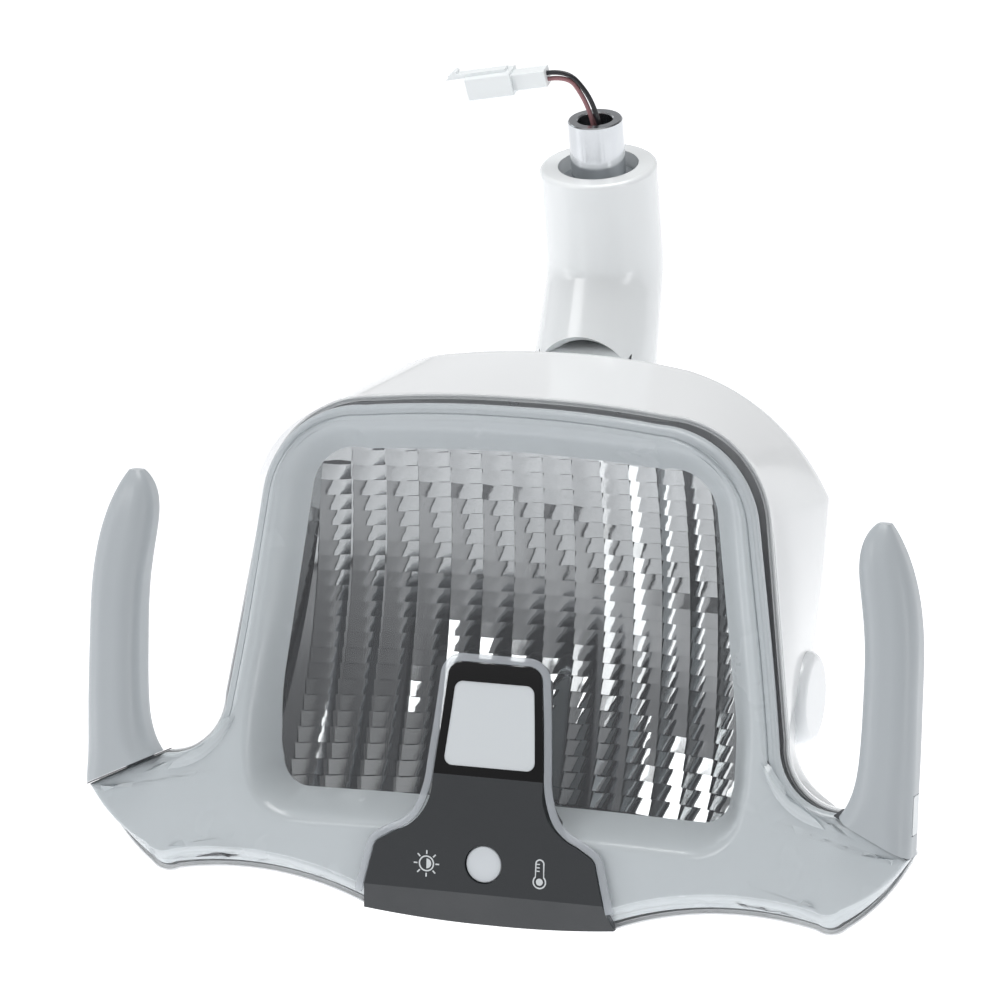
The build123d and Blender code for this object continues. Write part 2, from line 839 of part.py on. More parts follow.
# =====================================================================================
# Handles with their tenons, release tabs and sockets
# =====================================================================================
tab_z = -20.0
tab_h = 15.0
tab_w = 8.0
tab_t = 3.2
tab_outer = 167.2


# height, inner side, outer side, depth of the right-hand handle's cross-sections
handle_sections = [
    (-42, 134.0, 167.3, 24.0),
    (-24, 137.5, 167.5, 24.0),
    (-14, 143.2, 167.6, 24.0),
    (0, 145.8, 167.6, 24.0),
    (22, 146.6, 167.4, 24.0),
    (46, 146.0, 167.0, 23.0),
    (62, 143.8, 165.0, 21.5),
    (76, 142.6, 160.8, 19.0),
    (84, 144.4, 157.0, 14.5),
    (89.5, 148.4, 153.6, 7.0),
]


def handle_solid():
    """Right-hand handle: lofted grip cut at the slanted seam, tenon below, tab pocket outside."""
    with BuildPart() as handle:
        for z, x_in, x_out, depth in handle_sections:
            with BuildSketch(level(z)):
                with Locations(((x_in + x_out) / 2, 0)):
                    RectangleRounded(x_out - x_in, depth, 0.4 * min(depth, x_out - x_in))
        loft()
        with BuildSketch(face(30)):
            with BuildLine():
                Polyline((127, -16.5), (177, -40.7), (177, -80), (127, -80), close=True)
            make_face()
        extrude(amount=60, mode=Mode.SUBTRACT)
        with BuildSketch(level(tenon_low)):
            with Locations((tenon_x, sum(tenon_y) / 2)):
                Rectangle(tenon_w, tenon_y[1] - tenon_y[0])
        extrude(amount=-20 - tenon_low)
        # pocket of the release tab
        with BuildSketch(side(tab_outer + 3)):
            with Locations((0, tab_z)):
                Rectangle(tab_w + 0.6, tab_h + 0.6)
        extrude(amount=-(3 + tab_t + tab_travel + 0.6), mode=Mode.SUBTRACT)
    return handle.part


handle_part = handle_solid()
with BuildPart() as handle_right:
    add(handle_part)
save(handle_right, "handle_right")
with BuildPart() as handle_left:
    mirror(handle_part, about=Plane.YZ)
save(handle_left, "handle_left")

for sign, side_name in ((-1, "left"), (1, "right")):
    with BuildPart() as release_tab:
        with BuildSketch(side(sign * (tab_outer + 0.4))):
            with Locations((0, tab_z)):
                RectangleRounded(tab_w, tab_h, 1.0)
        extrude(amount=-sign * tab_t)
    save(release_tab, f"release_tab_{side_name}")
    with BuildPart() as socket:
        with BuildSketch(level(tenon_low - 0.5)):
            with Locations((sign * tenon_x, sum(tenon_y) / 2)):
                Rectangle(tenon_w + 4, tenon_y[1] - tenon_y[0] + 3.6)
                Rectangle(tenon_w + 0.5, tenon_y[1] - tenon_y[0] + 0.5, mode=Mode.SUBTRACT)
        extrude(amount=12)
    save(socket, f"handle_socket_{side_name}")
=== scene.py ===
"""Dental operating light on its ceiling post: the visual model round the packed CAD frame."""

import json
import math

import bpy
from mathutils import Matrix, Vector


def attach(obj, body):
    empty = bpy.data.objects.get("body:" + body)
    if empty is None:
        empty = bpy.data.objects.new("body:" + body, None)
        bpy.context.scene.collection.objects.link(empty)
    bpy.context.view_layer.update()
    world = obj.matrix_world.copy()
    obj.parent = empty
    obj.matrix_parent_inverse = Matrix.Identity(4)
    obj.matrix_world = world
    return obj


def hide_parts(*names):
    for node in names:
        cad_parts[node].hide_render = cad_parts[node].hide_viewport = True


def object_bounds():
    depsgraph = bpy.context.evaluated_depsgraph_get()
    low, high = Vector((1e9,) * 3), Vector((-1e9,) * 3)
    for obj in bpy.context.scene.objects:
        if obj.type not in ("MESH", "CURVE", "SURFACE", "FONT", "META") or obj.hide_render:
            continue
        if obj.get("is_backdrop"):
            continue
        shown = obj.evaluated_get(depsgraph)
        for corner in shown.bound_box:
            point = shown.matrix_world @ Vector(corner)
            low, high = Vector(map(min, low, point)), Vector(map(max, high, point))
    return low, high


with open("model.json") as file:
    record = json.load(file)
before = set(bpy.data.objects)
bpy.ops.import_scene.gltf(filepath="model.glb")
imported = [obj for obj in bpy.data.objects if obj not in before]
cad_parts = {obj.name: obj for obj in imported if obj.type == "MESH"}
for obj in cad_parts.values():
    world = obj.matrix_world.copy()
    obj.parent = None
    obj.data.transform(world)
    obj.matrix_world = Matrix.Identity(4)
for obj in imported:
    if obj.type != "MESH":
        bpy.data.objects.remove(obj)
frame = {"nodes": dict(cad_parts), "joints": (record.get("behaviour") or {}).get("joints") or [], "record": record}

bl_info = {
    "name": "Dental Operating Light",
    "version": (1, 0, 0),
    "blender": (4, 5, 0),
    "location": "3D View > Sidebar > Operating Light",
    "description": "Builds the visual pieces of a dental operating light round its CAD frame",
    "category": "Object",
}

MM = 0.001
JOINTS = {joint["name"]: joint for joint in frame["joints"]}
UP = Vector(JOINTS["handle_right_pull"]["axis"]).normalized()
BACK = Vector(JOINTS["button_press"]["axis"]).normalized()
TILT = Vector(JOINTS["head_tilt"]["pos_m"])
FACE_ORIGIN = TILT - BACK * 0.114 - UP * 0.122


# ---- head frame: x to the light's left-right, depth behind the face, z up the face, in mm ----
def at(x, depth, z):
    """A point of the head in the row frame, in metres."""
    return FACE_ORIGIN + Vector((x * MM, 0, 0)) + BACK * (depth * MM) + UP * (z * MM)


def blend(low, high, share):
    return low + (high - low) * share


def line(start, end, count):
    """Points of a straight run, its end left out."""
    return [
        (blend(start[0], end[0], i / count), blend(start[1], end[1], i / count))
        for i in range(count)
    ]


def arc(start, middle, end, count):
    """Points of an arc through three points, its end left out."""
    (ax, az), (bx, bz), (cx, cz) = start, middle, end
    area = 2 * (ax * (bz - cz) + bx * (cz - az) + cx * (az - bz))
    a, b, c = ax * ax + az * az, bx * bx + bz * bz, cx * cx + cz * cz
    ux = (a * (bz - cz) + b * (cz - az) + c * (az - bz)) / area
    uz = (a * (cx - bx) + b * (ax - cx) + c * (bx - ax)) / area
    radius = math.hypot(ax - ux, az - uz)
    turn = [math.atan2(z - uz, x - ux) for x, z in (start, middle, end)]
    for i in (1, 2):
        turn[i] += 2 * math.pi * round((turn[i - 1] - turn[i]) / (2 * math.pi))
    return [
        (
            ux + radius * math.cos(blend(turn[0], turn[2], i / count)),
            uz + radius * math.sin(blend(turn[0], turn[2], i / count)),
        )
        for i in range(count)
    ]


def half_loop(runs, counts):
    """Right half of an outline, from the crown round to the bottom."""
    points = []
    for run, count in zip(runs, counts):
        points += arc(*run, count) if len(run) == 3 else line(*run, count)
    return points + [runs[-1][-1]]


def full_loop(half):
    """Closed outline from its right half."""
    return half + [(-x, z) for x, z in reversed(half[1:-1])]


def open_loop(half):
    """Open outline from the left low end over the crown to the right low end."""
    return [(-x, z) for x, z in reversed(half[1:])] + half


def inset(points, distance, closed=True, ease=0):
    """Outline moved to its inner side; distance is one number or one for each point.
    Each step of ease evens out the direction between neighbours."""
    n = len(points)
    amounts = distance if isinstance(distance, list) else [distance] * n
    inward = []
    for i in range(n):
        before = points[i - 1] if closed or i else points[i]
        after = points[(i + 1) % n] if closed or i < n - 1 else points[i]
        inward.append(Vector((after[1] - before[1], before[0] - after[0])).normalized())
    for _ in range(ease):
        inward = [
            (inward[i - 1] + inward[i] * 2 + inward[(i + 1) % n]).normalized() for i in range(n)
        ]
    return [
        (x + way.x * amount, z + way.y * amount)
        for (x, z), way, amount in zip(points, inward, amounts)
    ]


# ---- the face: outline, front surface and parting line ----
SIDE_COUNTS = (12, 22, 20, 14, 7, 7, 12, 6, 16, 12)


def head_runs(rise):
    """Runs of the right half of the face outline; rise lifts the lower edge."""
    return (
        ((0, 126), (31, 125.3), (60, 122.8)),
        ((60, 122.8), (92, 108.5), (103, 86)),
        ((103, 86), (115, 2)),
        ((115, 2), (121.5, -15), (137, -22)),
        ((137, -22), (144.5, -25.6)),
        ((144.5, -25.6), (167, -36.5)),
        ((167, -36.5), (158, -52 + rise * 0.4), (142.5, -67 + rise)),
        ((142.5, -67 + rise), (137, -70 + rise), (130, -68.8 + rise)),
        ((130, -68.8 + rise), (98, -66 + rise), (51, -75.7 + rise)),
        ((51, -75.7 + rise), (25, -78 + rise), (0, -78.6 + rise)),
    )


WINDOW_RUNS = (
    ((0, 105), (30, 104.2), (60, 102.4)),
    ((60, 102.4), (75.2, 99), (82, 88)),
    ((82, 88), (92, 12)),
    ((92, 12), (92.8, 2), (92.8, -8)),
    ((92.8, -8), (92.7, -13)),
    ((92.7, -13), (92.4, -18), (91.5, -22)),
    ((91.5, -22), (88, -30.2), (80, -33)),
    ((80, -33), (72, -32.9)),
    ((72, -32.9), (45, -32.3)),
    ((45, -32.3), (0, -32)),
)
BODY_RUNS = (
    ((0, 138.5), (28, 137.5), (52, 134.5)),
    ((52, 134.5), (92, 113), (110.5, 88)),
    ((110.5, 88), (109, 55), (106.5, 24)),
    ((106.5, 24), (105.6, 8), (104.5, -10)),
    ((104.5, -10), (103.4, -16)),
    ((103.4, -16), (101.5, -24)),
    ((101.5, -24), (96, -38), (82, -45.5)),
    ((82, -45.5), (72, -46.5)),
    ((72, -46.5), (38, -47)),
    ((38, -47), (0, -47)),
)
PANEL_COUNTS = SIDE_COUNTS[:9]
PANEL_RUNS = (
    ((0, 24), (13, 24)),
    ((13, 24), (17.3, 22.4), (19, 19)),
    ((19, 19), (22, -16)),
    ((22, -16), (22.9, -24), (25.6, -32.6)),
    ((25.6, -32.6), (27.2, -35.6), (29.4, -38.2)),
    ((29.4, -38.2), (32.9, -41), (37, -43)),
    ((37, -43), (42, -46)),
    ((42, -46), (44.2, -48), (45.2, -51)),
    ((45.2, -51), (49.6, -69.3)),
)
FRONT_STEPS = ((42, 0.0, 0.0), (6, -2.2, 0.104), (-24, -6.6, 0.112), (-52, -8.5, 0.0))


def front(z):
    """Depth of the cover's front surface at height z: upright above, swept forward below."""
    if z >= FRONT_STEPS[0][0]:
        return FRONT_STEPS[0][1]
    for (z0, y0, slope0), (z1, y1, slope1) in zip(FRONT_STEPS, FRONT_STEPS[1:]):
        if z >= z1:
            span, t = z1 - z0, (z - z0) / (z1 - z0)
            return (
                y0 * (1 + 2 * t) * (1 - t) ** 2
                + slope0 * span * t * (1 - t) ** 2
                + y1 * t * t * (3 - 2 * t)
                + slope1 * span * t * t * (t - 1)
            )
    return FRONT_STEPS[-1][1]


def parting(z):
    """Depth of the joint between the clear cover and the casing."""
    return 0.2 + (z + 95) * 0.082


def weights(counts, values):
    """One weight for each point of a half outline, from the values at the ends of its runs."""
    listed = []
    for count, (low, high) in zip(counts, values):
        listed += [blend(low, high, i / count) for i in range(count)]
    return listed + [values[-1][1]]


# ---- mesh ----
def new_object(name, mesh):
    made = bpy.data.objects.new(name, mesh)
    bpy.context.scene.collection.objects.link(made)
    return made


def smooth(mesh, angle=35.0):
    """Smooth shading, with edges sharper than the angle left sharp."""
    mesh.shade_smooth()
    mesh.set_sharp_from_angle(angle=math.radians(angle))


def ring_mesh(name, rings, closed=True, wrap=False, caps=False):
    """Faces between neighbouring rings of points, which run from the rim inwards."""
    n, last = len(rings[0]), len(rings)
    at_ring = [(r, (r + 1) % last) for r in range(last if wrap else last - 1)]
    faces = []
    for here, there in at_ring:
        for i in range(n if closed else n - 1):
            j = (i + 1) % n
            faces.append((here * n + i, here * n + j, there * n + j, there * n + i))
    if caps and wrap:
        faces.append([r * n for r in range(last)])
        faces.append([r * n + n - 1 for r in reversed(range(last))])
    elif caps:
        faces.append(list(reversed(range(n))))
        faces.append([(last - 1) * n + i for i in range(n)])
    mesh = bpy.data.meshes.new(name)
    mesh.from_pydata([tuple(p) for ring in rings for p in ring], [], faces)
    mesh.update()
    return mesh


def turn_outwards(mesh):
    """Makes a closed mesh's faces point outwards."""
    volume = 0.0
    mesh.calc_loop_triangles()
    for triangle in mesh.loop_triangles:
        a, b, c = (mesh.vertices[i].co for i in triangle.vertices)
        volume += a.dot(b.cross(c))
    if volume < 0:
        mesh.flip_normals()
    mesh.update()


def wall(made, thickness):
    """Gives an open skin a wall behind its faces and applies it."""
    modifier = made.modifiers.new("wall", "SOLIDIFY")
    modifier.thickness = thickness
    modifier.offset = -1
    modifier.use_even_offset = False
    return applied(made)


def applied(made):
    """Replaces an object's mesh by its evaluated one and clears its modifiers."""
    graph = bpy.context.evaluated_depsgraph_get()
    mesh = bpy.data.meshes.new_from_object(made.evaluated_get(graph))
    made.modifiers.clear()
    made.data = mesh
    return made


def faces_front(mesh):
    """Turns an open skin so that its faces look out of the light's face."""
    facing = sum((face.normal * face.area for face in mesh.polygons), Vector()).dot(BACK)
    if facing > 0:
        mesh.flip_normals()
    mesh.update()


def dress(made, finish, body, slot, *stands_for):
    """Gives a piece its finish and body, and hides the nodes it stands for; slot is not used."""
    made.data.materials.clear()
    made.data.materials.append(finish)
    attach(made, body)
    if stands_for:
        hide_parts(*stands_for)
    return made


# ---- shader maths ----
class Value:
    """A shader socket that takes part in Python expressions."""

    def __init__(self, finish, socket):
        self.finish = finish
        self.socket = socket

    def maths(self, operation, *values):
        return self.finish.node("ShaderNodeMath", {"operation": operation}, dict(enumerate(values)))

    def __add__(self, other):
        return self.maths("ADD", self, other)

    def __radd__(self, other):
        return self.maths("ADD", other, self)

    def __sub__(self, other):
        return self.maths("SUBTRACT", self, other)

    def __rsub__(self, other):
        return self.maths("SUBTRACT", other, self)

    def __mul__(self, other):
        return self.maths("MULTIPLY", self, other)

    def __rmul__(self, other):
        return self.maths("MULTIPLY", other, self)

    def __truediv__(self, other):
        return self.maths("DIVIDE", self, other)

    def __pow__(self, other):
        return self.maths("POWER", self, other)

    def over(self, low, high):
        """0 at low, 1 at high, held in between."""
        settings = {"interpolation_type": "SMOOTHSTEP"}
        return self.finish.node("ShaderNodeMapRange", settings, {0: self, 1: low, 2: high})


class Finish:
    """One material and the nodes behind it."""

    def __init__(self, name, **fixed):
        self.material = bpy.data.materials.new(name)
        self.material.use_nodes = True
        self.tree = self.material.node_tree
        self.shader = self.tree.nodes["Principled BSDF"]
        for socket, value in fixed.items():
            self.shader.inputs[socket.replace("_", " ")].default_value = value

    def node(self, kind, settings=None, values=None, out=0):
        """Adds a node, sets it, fills or links its sockets and returns one output."""
        made = self.tree.nodes.new(kind)
        for name, value in (settings or {}).items():
            setattr(made, name, value)
        for key, value in (values or {}).items():
            self.feed(made.inputs[key], value)
        return Value(self, made.outputs[out])

    def feed(self, socket, value):
        if isinstance(value, Value):
            self.tree.links.new(value.socket, socket)
        else:
            socket.default_value = value

    def set(self, socket, value):
        self.feed(self.shader.inputs[socket], value)

    def place(self, scale=(1, 1, 1), turn=(0, 0, 0), shift=(0, 0, 0)):
        """Object coordinates, turned and stretched by a Mapping node."""
        coordinates = self.node("ShaderNodeTexCoord", out="Object")
        values = {"Vector": coordinates, "Scale": scale, "Rotation": turn, "Location": shift}
        return self.node("ShaderNodeMapping", None, values)

    def noise(self, scale, detail=2.0, place=None):
        values = {"Vector": place or self.place(), "Scale": scale, "Detail": detail}
        return self.node("ShaderNodeTexNoise", None, values)

    def colours(self, share, low, high):
        """Mix of two colours or colour links."""
        values = {0: share, 6: low, 7: high}
        return self.node("ShaderNodeMix", {"data_type": "RGBA"}, values, out=2)

    def bump(self, height, strength, distance):
        values = {"Height": height, "Strength": strength, "Distance": distance}
        self.set("Normal", self.node("ShaderNodeBump", None, values))


def shade(colour, factor):
    """A colour made lighter or darker, with its alpha set to 1."""
    return (*(min(1.0, part * factor) for part in colour[:3]), 1.0)


def moulded(name, colour, rough=0.3, grain=0.0, grain_scale=900.0, tone=0.05, coat=0.0):
    """Injection-moulded plastic: faint flow of tone, uneven polish and fine surface grain."""
    finish = Finish(name, Coat_Roughness=0.08)
    flow = finish.noise(9.0, 3.0)
    haze_and_sheen = finish.noise(46.0, 4.0)
    finish.set("Base Color", finish.colours(flow, shade(colour, 1 - tone), shade(colour, 1 + tone)))
    finish.set("Roughness", haze_and_sheen * (rough * 0.5) + rough * 0.75)
    finish.set("Coat Weight", flow * 0.2 * coat + coat * 0.85)
    finish.bump(finish.noise(grain_scale, 3.0), grain, 0.0002)
    return finish.material


def enamel(name, colour, rough=0.16, coat=0.4):
    """Sprayed enamel: gloss with a soft orange peel."""
    finish = Finish(name, Coat_Roughness=0.05)
    flow = finish.noise(7.0, 2.0)
    finish.set("Base Color", finish.colours(flow, shade(colour, 0.97), shade(colour, 1.02)))
    finish.set("Roughness", finish.noise(60.0, 3.0) * 0.12 + rough)
    finish.set("Coat Weight", flow * 0.1 + coat)
    finish.bump(finish.noise(220.0, 1.0), 0.05, 0.0003)
    return finish.material


def metal(name, colour, rough, stretch, scale=600.0, wear_and_sheen=0.12):
    """Machined metal: tool lines that follow the stretch, and uneven tarnish. Where the contrast is set high, as
    on the post's turned aluminium, the stretched streaks are painted reflection bands.
    """
    finish = Finish(name)
    lines = finish.noise(scale, 3.0, finish.place(scale=stretch))
    tarnish = finish.noise(70.0, 3.0)
    dark, light = shade(colour, 1 - wear_and_sheen), shade(colour, 1 + wear_and_sheen * 0.6)
    finish.set("Base Color", finish.colours(lines * 0.6 + tarnish * 0.4, dark, light))
    finish.set("Metallic", 1.0)
    finish.set("Roughness", lines * (rough * 0.6) + tarnish * (rough * 0.3) + rough * 0.5)
    finish.bump(lines, 0.12, 0.0002)
    return finish.material


def board(name, colour):
    """Circuit board: copper tracks under green lacquer."""
    finish = Finish(name, Coat_Roughness=0.1)
    tracks = finish.node(
        "ShaderNodeTexBrick",
        {"offset": 0.5},
        {
            "Vector": finish.place(turn=(math.radians(90), 0, 0)),
            "Scale": 90.0,
            "Mortar Size": 0.05,
            "Color1": shade(colour, 0.8),
            "Color2": shade(colour, 1.1),
            "Mortar": (0.36, 0.42, 0.2, 1),
        },
    )
    finish.set("Base Color", tracks)
    finish.set("Roughness", finish.noise(120.0) * 0.2 + 0.3)
    finish.set("Coat Weight", finish.noise(40.0) * 0.2 + 0.3)
    return finish.material


def rgb(red, green, blue):
    """Linear colour from a display colour of 0 to 255."""
    parts = []
    for part in (red, green, blue):
        share = part / 255
        parts.append(share / 12.92 if share < 0.04045 else ((share + 0.055) / 1.055) ** 2.4)
    return (*parts, 1.0)


def number(label, text, default, **more):
    return bpy.props.FloatProperty(name=label, description=text, default=default, **more)


def angle(label, text, degrees):
    return number(label, text, math.radians(degrees), subtype="ANGLE")


def length(label, text, default):
    return number(label, text, default, unit="LENGTH", subtype="DISTANCE", precision=5)


def colour(label, text, default):
    return bpy.props.FloatVectorProperty(
        name=label, description=text, default=default, size=4, subtype="COLOR", min=0, max=1
    )


# ---- settings ----
class LightStageSettings(bpy.types.PropertyGroup):
    """Camera, floor and studio lamps."""

    azimuth: angle("Azimuth", "Turn of the camera round the light", 20.02)
    elevation: angle("Elevation", "Height angle of the camera", 25.78)
    roll: angle("Roll", "Turn of the camera about its own line", -4.83)
    lens: number("Lens", "Focal length in mm on a 36 mm sensor", 182.3)
    distance: length("Distance", "Camera to the point it looks at", 1.9477)
    aim: bpy.props.FloatVectorProperty(
        name="Aim",
        description="Point the camera looks at, from the top of the post's shoulder",
        default=(-0.00237, -0.14141, -0.07723),
        subtype="TRANSLATION",
    )
    floor_drop: length("Floor drop", "Floor below the lowest point of the light", 0.9)
    key: number("Key lamp", "Power of the large front lamp in W", 21.0)
    side: number("Side lamp", "Power of the tall side lamp in W", 7.0)
    strip: number("Strip lamp", "Power of the tall lamp on the left in W", 8.0)
    top: number("Top lamp", "Power of the lamp above in W", 34.0)


class LightCableSettings(bpy.types.PropertyGroup):
    """The two cores from the post's bore to the connector."""

    radius: length("Core radius", "Radius of one insulated core", 0.00095)
    pitch: length("Half pitch", "Half the distance between the cores", 0.00125)
    black: colour("Black core", "Insulation of the outer core", rgb(38, 38, 42))
    red: colour("Red core", "Faded insulation of the inner core", rgb(158, 112, 116))


class LightBezelSettings(bpy.types.PropertyGroup):
    """Grey bezel behind the clear cover."""

    gap: length("Edge gap", "Bezel edge inside the cover's outline", 0.0028)
    shift: length("Depth", "Bezel surface behind the cover's front", 0.0028)
    band: length("Band width", "Sloping band outside the raised arch", 0.0036)
    mouth: length("Mouth width", "Rounded slope round the window", 0.0112)
    window_depth: length("Window depth", "Window edge behind the face", 0.014)
    thickness: length("Wall", "Moulded wall", 0.0016)
    tint: colour("Bezel grey", "Moulded grey of the bezel", rgb(202, 209, 212))


class LightCasingSettings(bpy.types.PropertyGroup):
    """White rear casing."""

    ledge: length("Wing depth", "Rear edge of the wings behind the face", 0.027)
    back: length("Back", "Flat of the back behind the face", 0.0818)
    thickness: length("Wall", "Moulded wall", 0.0022)
    tint: colour("Casing white", "Moulded white of the casing", rgb(240, 242, 243))


class LightCoverSettings(bpy.types.PropertyGroup):
    """Clear front cover."""

    thickness: length("Wall", "Moulded wall of the cover", 0.0015)
    rounding: length("Edge rounding", "Radius of the front edge", 0.0018)
    rise: length("Bevel rise", "Height of the bevelled lower edge", 0.0062)
    rim: length("Rim width", "Raised rim round the control panel", 0.0034)
    tint: colour("Clear tint", "Tint of the clear plastic", rgb(206, 209, 214))


class LightMirrorSettings(bpy.types.PropertyGroup):
    """Faceted mirror behind the window."""

    columns: bpy.props.IntProperty(name="Columns", description="Facet columns", default=14)
    rows: bpy.props.IntProperty(name="Rows", description="Facet rows", default=23)
    bowl: length("Bowl radius", "Radius of the mirror bowl", 0.190)
    deepest: length("Bowl depth", "Deepest point behind the face", 0.060)
    pitch: length("Row pitch", "Height of one facet", 0.0062)
    crown: length("Crown", "Height of a facet's crown", 0.0016)
    tint: colour("Mirror", "Coated moulding", rgb(190, 193, 194))


class LightPanelSettings(bpy.types.PropertyGroup):
    """Signs printed on the control panel."""

    sign_x: length("Sign distance", "Sign centres from the middle", 0.023)
    sign_z: length("Sign height", "Sign centres up the face", -0.0545)
    stroke: length("Stroke", "Width of a printed line", 0.00055)
    tint: colour("Sign colour", "Printed signs", rgb(214, 218, 220))


class LightHandleSettings(bpy.types.PropertyGroup):
    """Pull-off handles."""

    tint: colour("Handle grey", "Moulded grey of the handles", rgb(181, 187, 191))


GROUPS = {
    "light_stage": LightStageSettings,
    "light_cable": LightCableSettings,
    "light_bezel": LightBezelSettings,
    "light_casing": LightCasingSettings,
    "light_cover": LightCoverSettings,
    "light_mirror": LightMirrorSettings,
    "light_panel": LightPanelSettings,
    "light_handle": LightHandleSettings,
}


# ---- stage ----
class BuildStage(bpy.types.Operator):
    """Camera, pale floor and soft studio lamps"""

    bl_idname = "operating_light.stage"
    bl_label = "Stage"

    def execute(self, context):
        scene, stage = context.scene, context.scene.light_stage
        self.camera(scene, stage)
        self.floor(stage)
        self.lamp("key_lamp", (-1.7, -2.1, 1.9), (1.5, 1.1), stage.key)
        self.lamp("side_lamp", (2.3, -1.1, 0.3), (0.5, 1.6), stage.side)
        self.lamp("strip_lamp", (-2.5, -1.3, 0.2), (0.6, 2.2), stage.strip)
        self.lamp("top_lamp", (0.2, 0.5, 2.2), (1.6, 1.2), stage.top)
        self.world(scene)
        scene.view_settings.view_transform = "Standard"
        scene.view_settings.look = "None"
        return {"FINISHED"}

    def camera(self, scene, stage):
        a, e, roll = stage.azimuth, stage.elevation, stage.roll
        ahead = Vector((-math.sin(a) * math.cos(e), math.cos(a) * math.cos(e), -math.sin(e)))
        level = ahead.cross(Vector((0, 0, 1))).normalized()
        upright = level.cross(ahead)
        right = level * math.cos(roll) + upright * math.sin(roll)
        upward = right.cross(ahead)
        data = bpy.data.cameras.new("camera")
        data.lens, data.sensor_width = stage.lens, 36
        data.clip_start, data.clip_end = 0.05, 60
        camera = new_object("camera", data)
        camera.matrix_world = Matrix((right, upward, -ahead)).transposed().to_4x4()
        camera.location = Vector(stage.aim) - ahead * stage.distance
        scene.camera = camera

    def floor(self, stage):
        low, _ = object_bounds()
        z, reach, steps = low.z - stage.floor_drop, 30.0, 24
        rings = []
        for radius in (0.01, 1.5, 6.0, reach):
            turns = [2 * math.pi * i / steps for i in range(steps)]
            rings.append([Vector((radius * math.cos(t), radius * math.sin(t), z)) for t in turns])
        floor = new_object("floor", ring_mesh("floor", rings))
        finish = Finish("studio_floor", Roughness=0.8, Emission_Strength=0.75)
        paper = finish.noise(0.7)
        finish.set("Base Color", finish.colours(paper, rgb(246, 247, 248), rgb(252, 252, 253)))
        finish.set("Emission Color", rgb(252, 253, 255))
        floor.data.materials.append(finish.material)
        floor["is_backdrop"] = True

    def lamp(self, name, place, size, power):
        data = bpy.data.lights.new(name, "AREA")
        data.shape, data.size, data.size_y, data.energy = "RECTANGLE", *size, power
        lamp = new_object(name, data)
        lamp.location = place
        aim = Vector((0, -0.15, -0.12)) - Vector(place)
        lamp.rotation_mode = "QUATERNION"
        lamp.rotation_quaternion = aim.to_track_quat("-Z", "Y")

    def world(self, scene):
        """Pale horizon, darker room above and to the right."""
        world = bpy.data.worlds.new("studio")
        world.use_nodes = True
        scene.world = world
        nodes, links = world.node_tree.nodes, world.node_tree.links
        place = nodes.new("ShaderNodeTexCoord")
        split = nodes.new("ShaderNodeSeparateXYZ")
        ramp = nodes.new("ShaderNodeValToRGB")
        stops = ((0.0, 0.95), (0.18, 0.9), (0.36, 0.42), (0.7, 0.2), (1.0, 0.5))
        for position, grey in stops:
            stop = ramp.color_ramp.elements.new(position)
            stop.color = (grey, grey, grey * 1.02, 1)
        links.new(place.outputs["Generated"], split.inputs[0])
        links.new(split.outputs["Z"], ramp.inputs[0])
        links.new(ramp.outputs[0], nodes["Background"].inputs["Color"])
        dim = nodes.new("ShaderNodeMapRange")
        for socket, value in zip(range(1, 5), (-1.0, 1.0, 0.95, 0.3)):
            dim.inputs[socket].default_value = value
        links.new(split.outputs["X"], dim.inputs[0])
        links.new(dim.outputs[0], nodes["Background"].inputs["Strength"])


# ---- cables ----
class BuildCables(bpy.types.Operator):
    """Two insulated cores arching from the post's bore to the connector"""

    bl_idname = "operating_light.cables"
    bl_label = "Cables"

    def execute(self, context):
        cable = context.scene.light_cable
        finishes = {
            "wire_black": moulded("black_insulation", cable.black, 0.34, 0.05, 1500),
            "wire_red": moulded("red_insulation", cable.red, 0.38, 0.05, 1500, tone=0.16),
        }
        for name, side, measured in (("wire_black", 1, 0.0475), ("wire_red", -1, 0.0436)):
            points = self.route(side, cable.pitch)
            curve = bpy.data.curves.new(name + "_cord", "CURVE")
            curve.dimensions = "3D"
            spline = curve.splines.new("NURBS")
            spline.points.add(len(points) - 1)
            for point, place in zip(spline.points, points):
                point.co = (*place, 1)
            spline.order_u = 3
            spline.use_endpoint_u = True
            spline.resolution_u = 12
            curve.bevel_depth = cable.radius
            curve.bevel_resolution = 5
            curve.use_fill_caps = True
            core = dress(new_object(name + "_cord", curve), finishes[name], "mount", name, name)
        return {"FINISHED"}

    def route(self, side, pitch):
        """Route points of one core, beside the pair's middle line."""
        middle = ((1.0, 8.0), (1.0, 16.5), (-0.4, 26.2), (-3.8, 35.0))
        outward = ((1.0, 0.0), (1.0, 0.05), (0.97, 0.25), (0.82, 0.57))
        points = []
        for (x, z), (out_x, out_z) in zip(middle, outward):
            points.append(Vector((x * MM + side * pitch * out_x, 0, z * MM + side * pitch * out_z)))
        plug = Vector((-1.0, -0.05, -0.16)).normalized()
        across = plug.cross(Vector((0, 0, 1)).cross(plug).normalized())
        end = Vector((-18.5, -0.4, 41.6)) * MM + across * (side * pitch)
        return [*points, end - plug * (8.5 * MM), end]


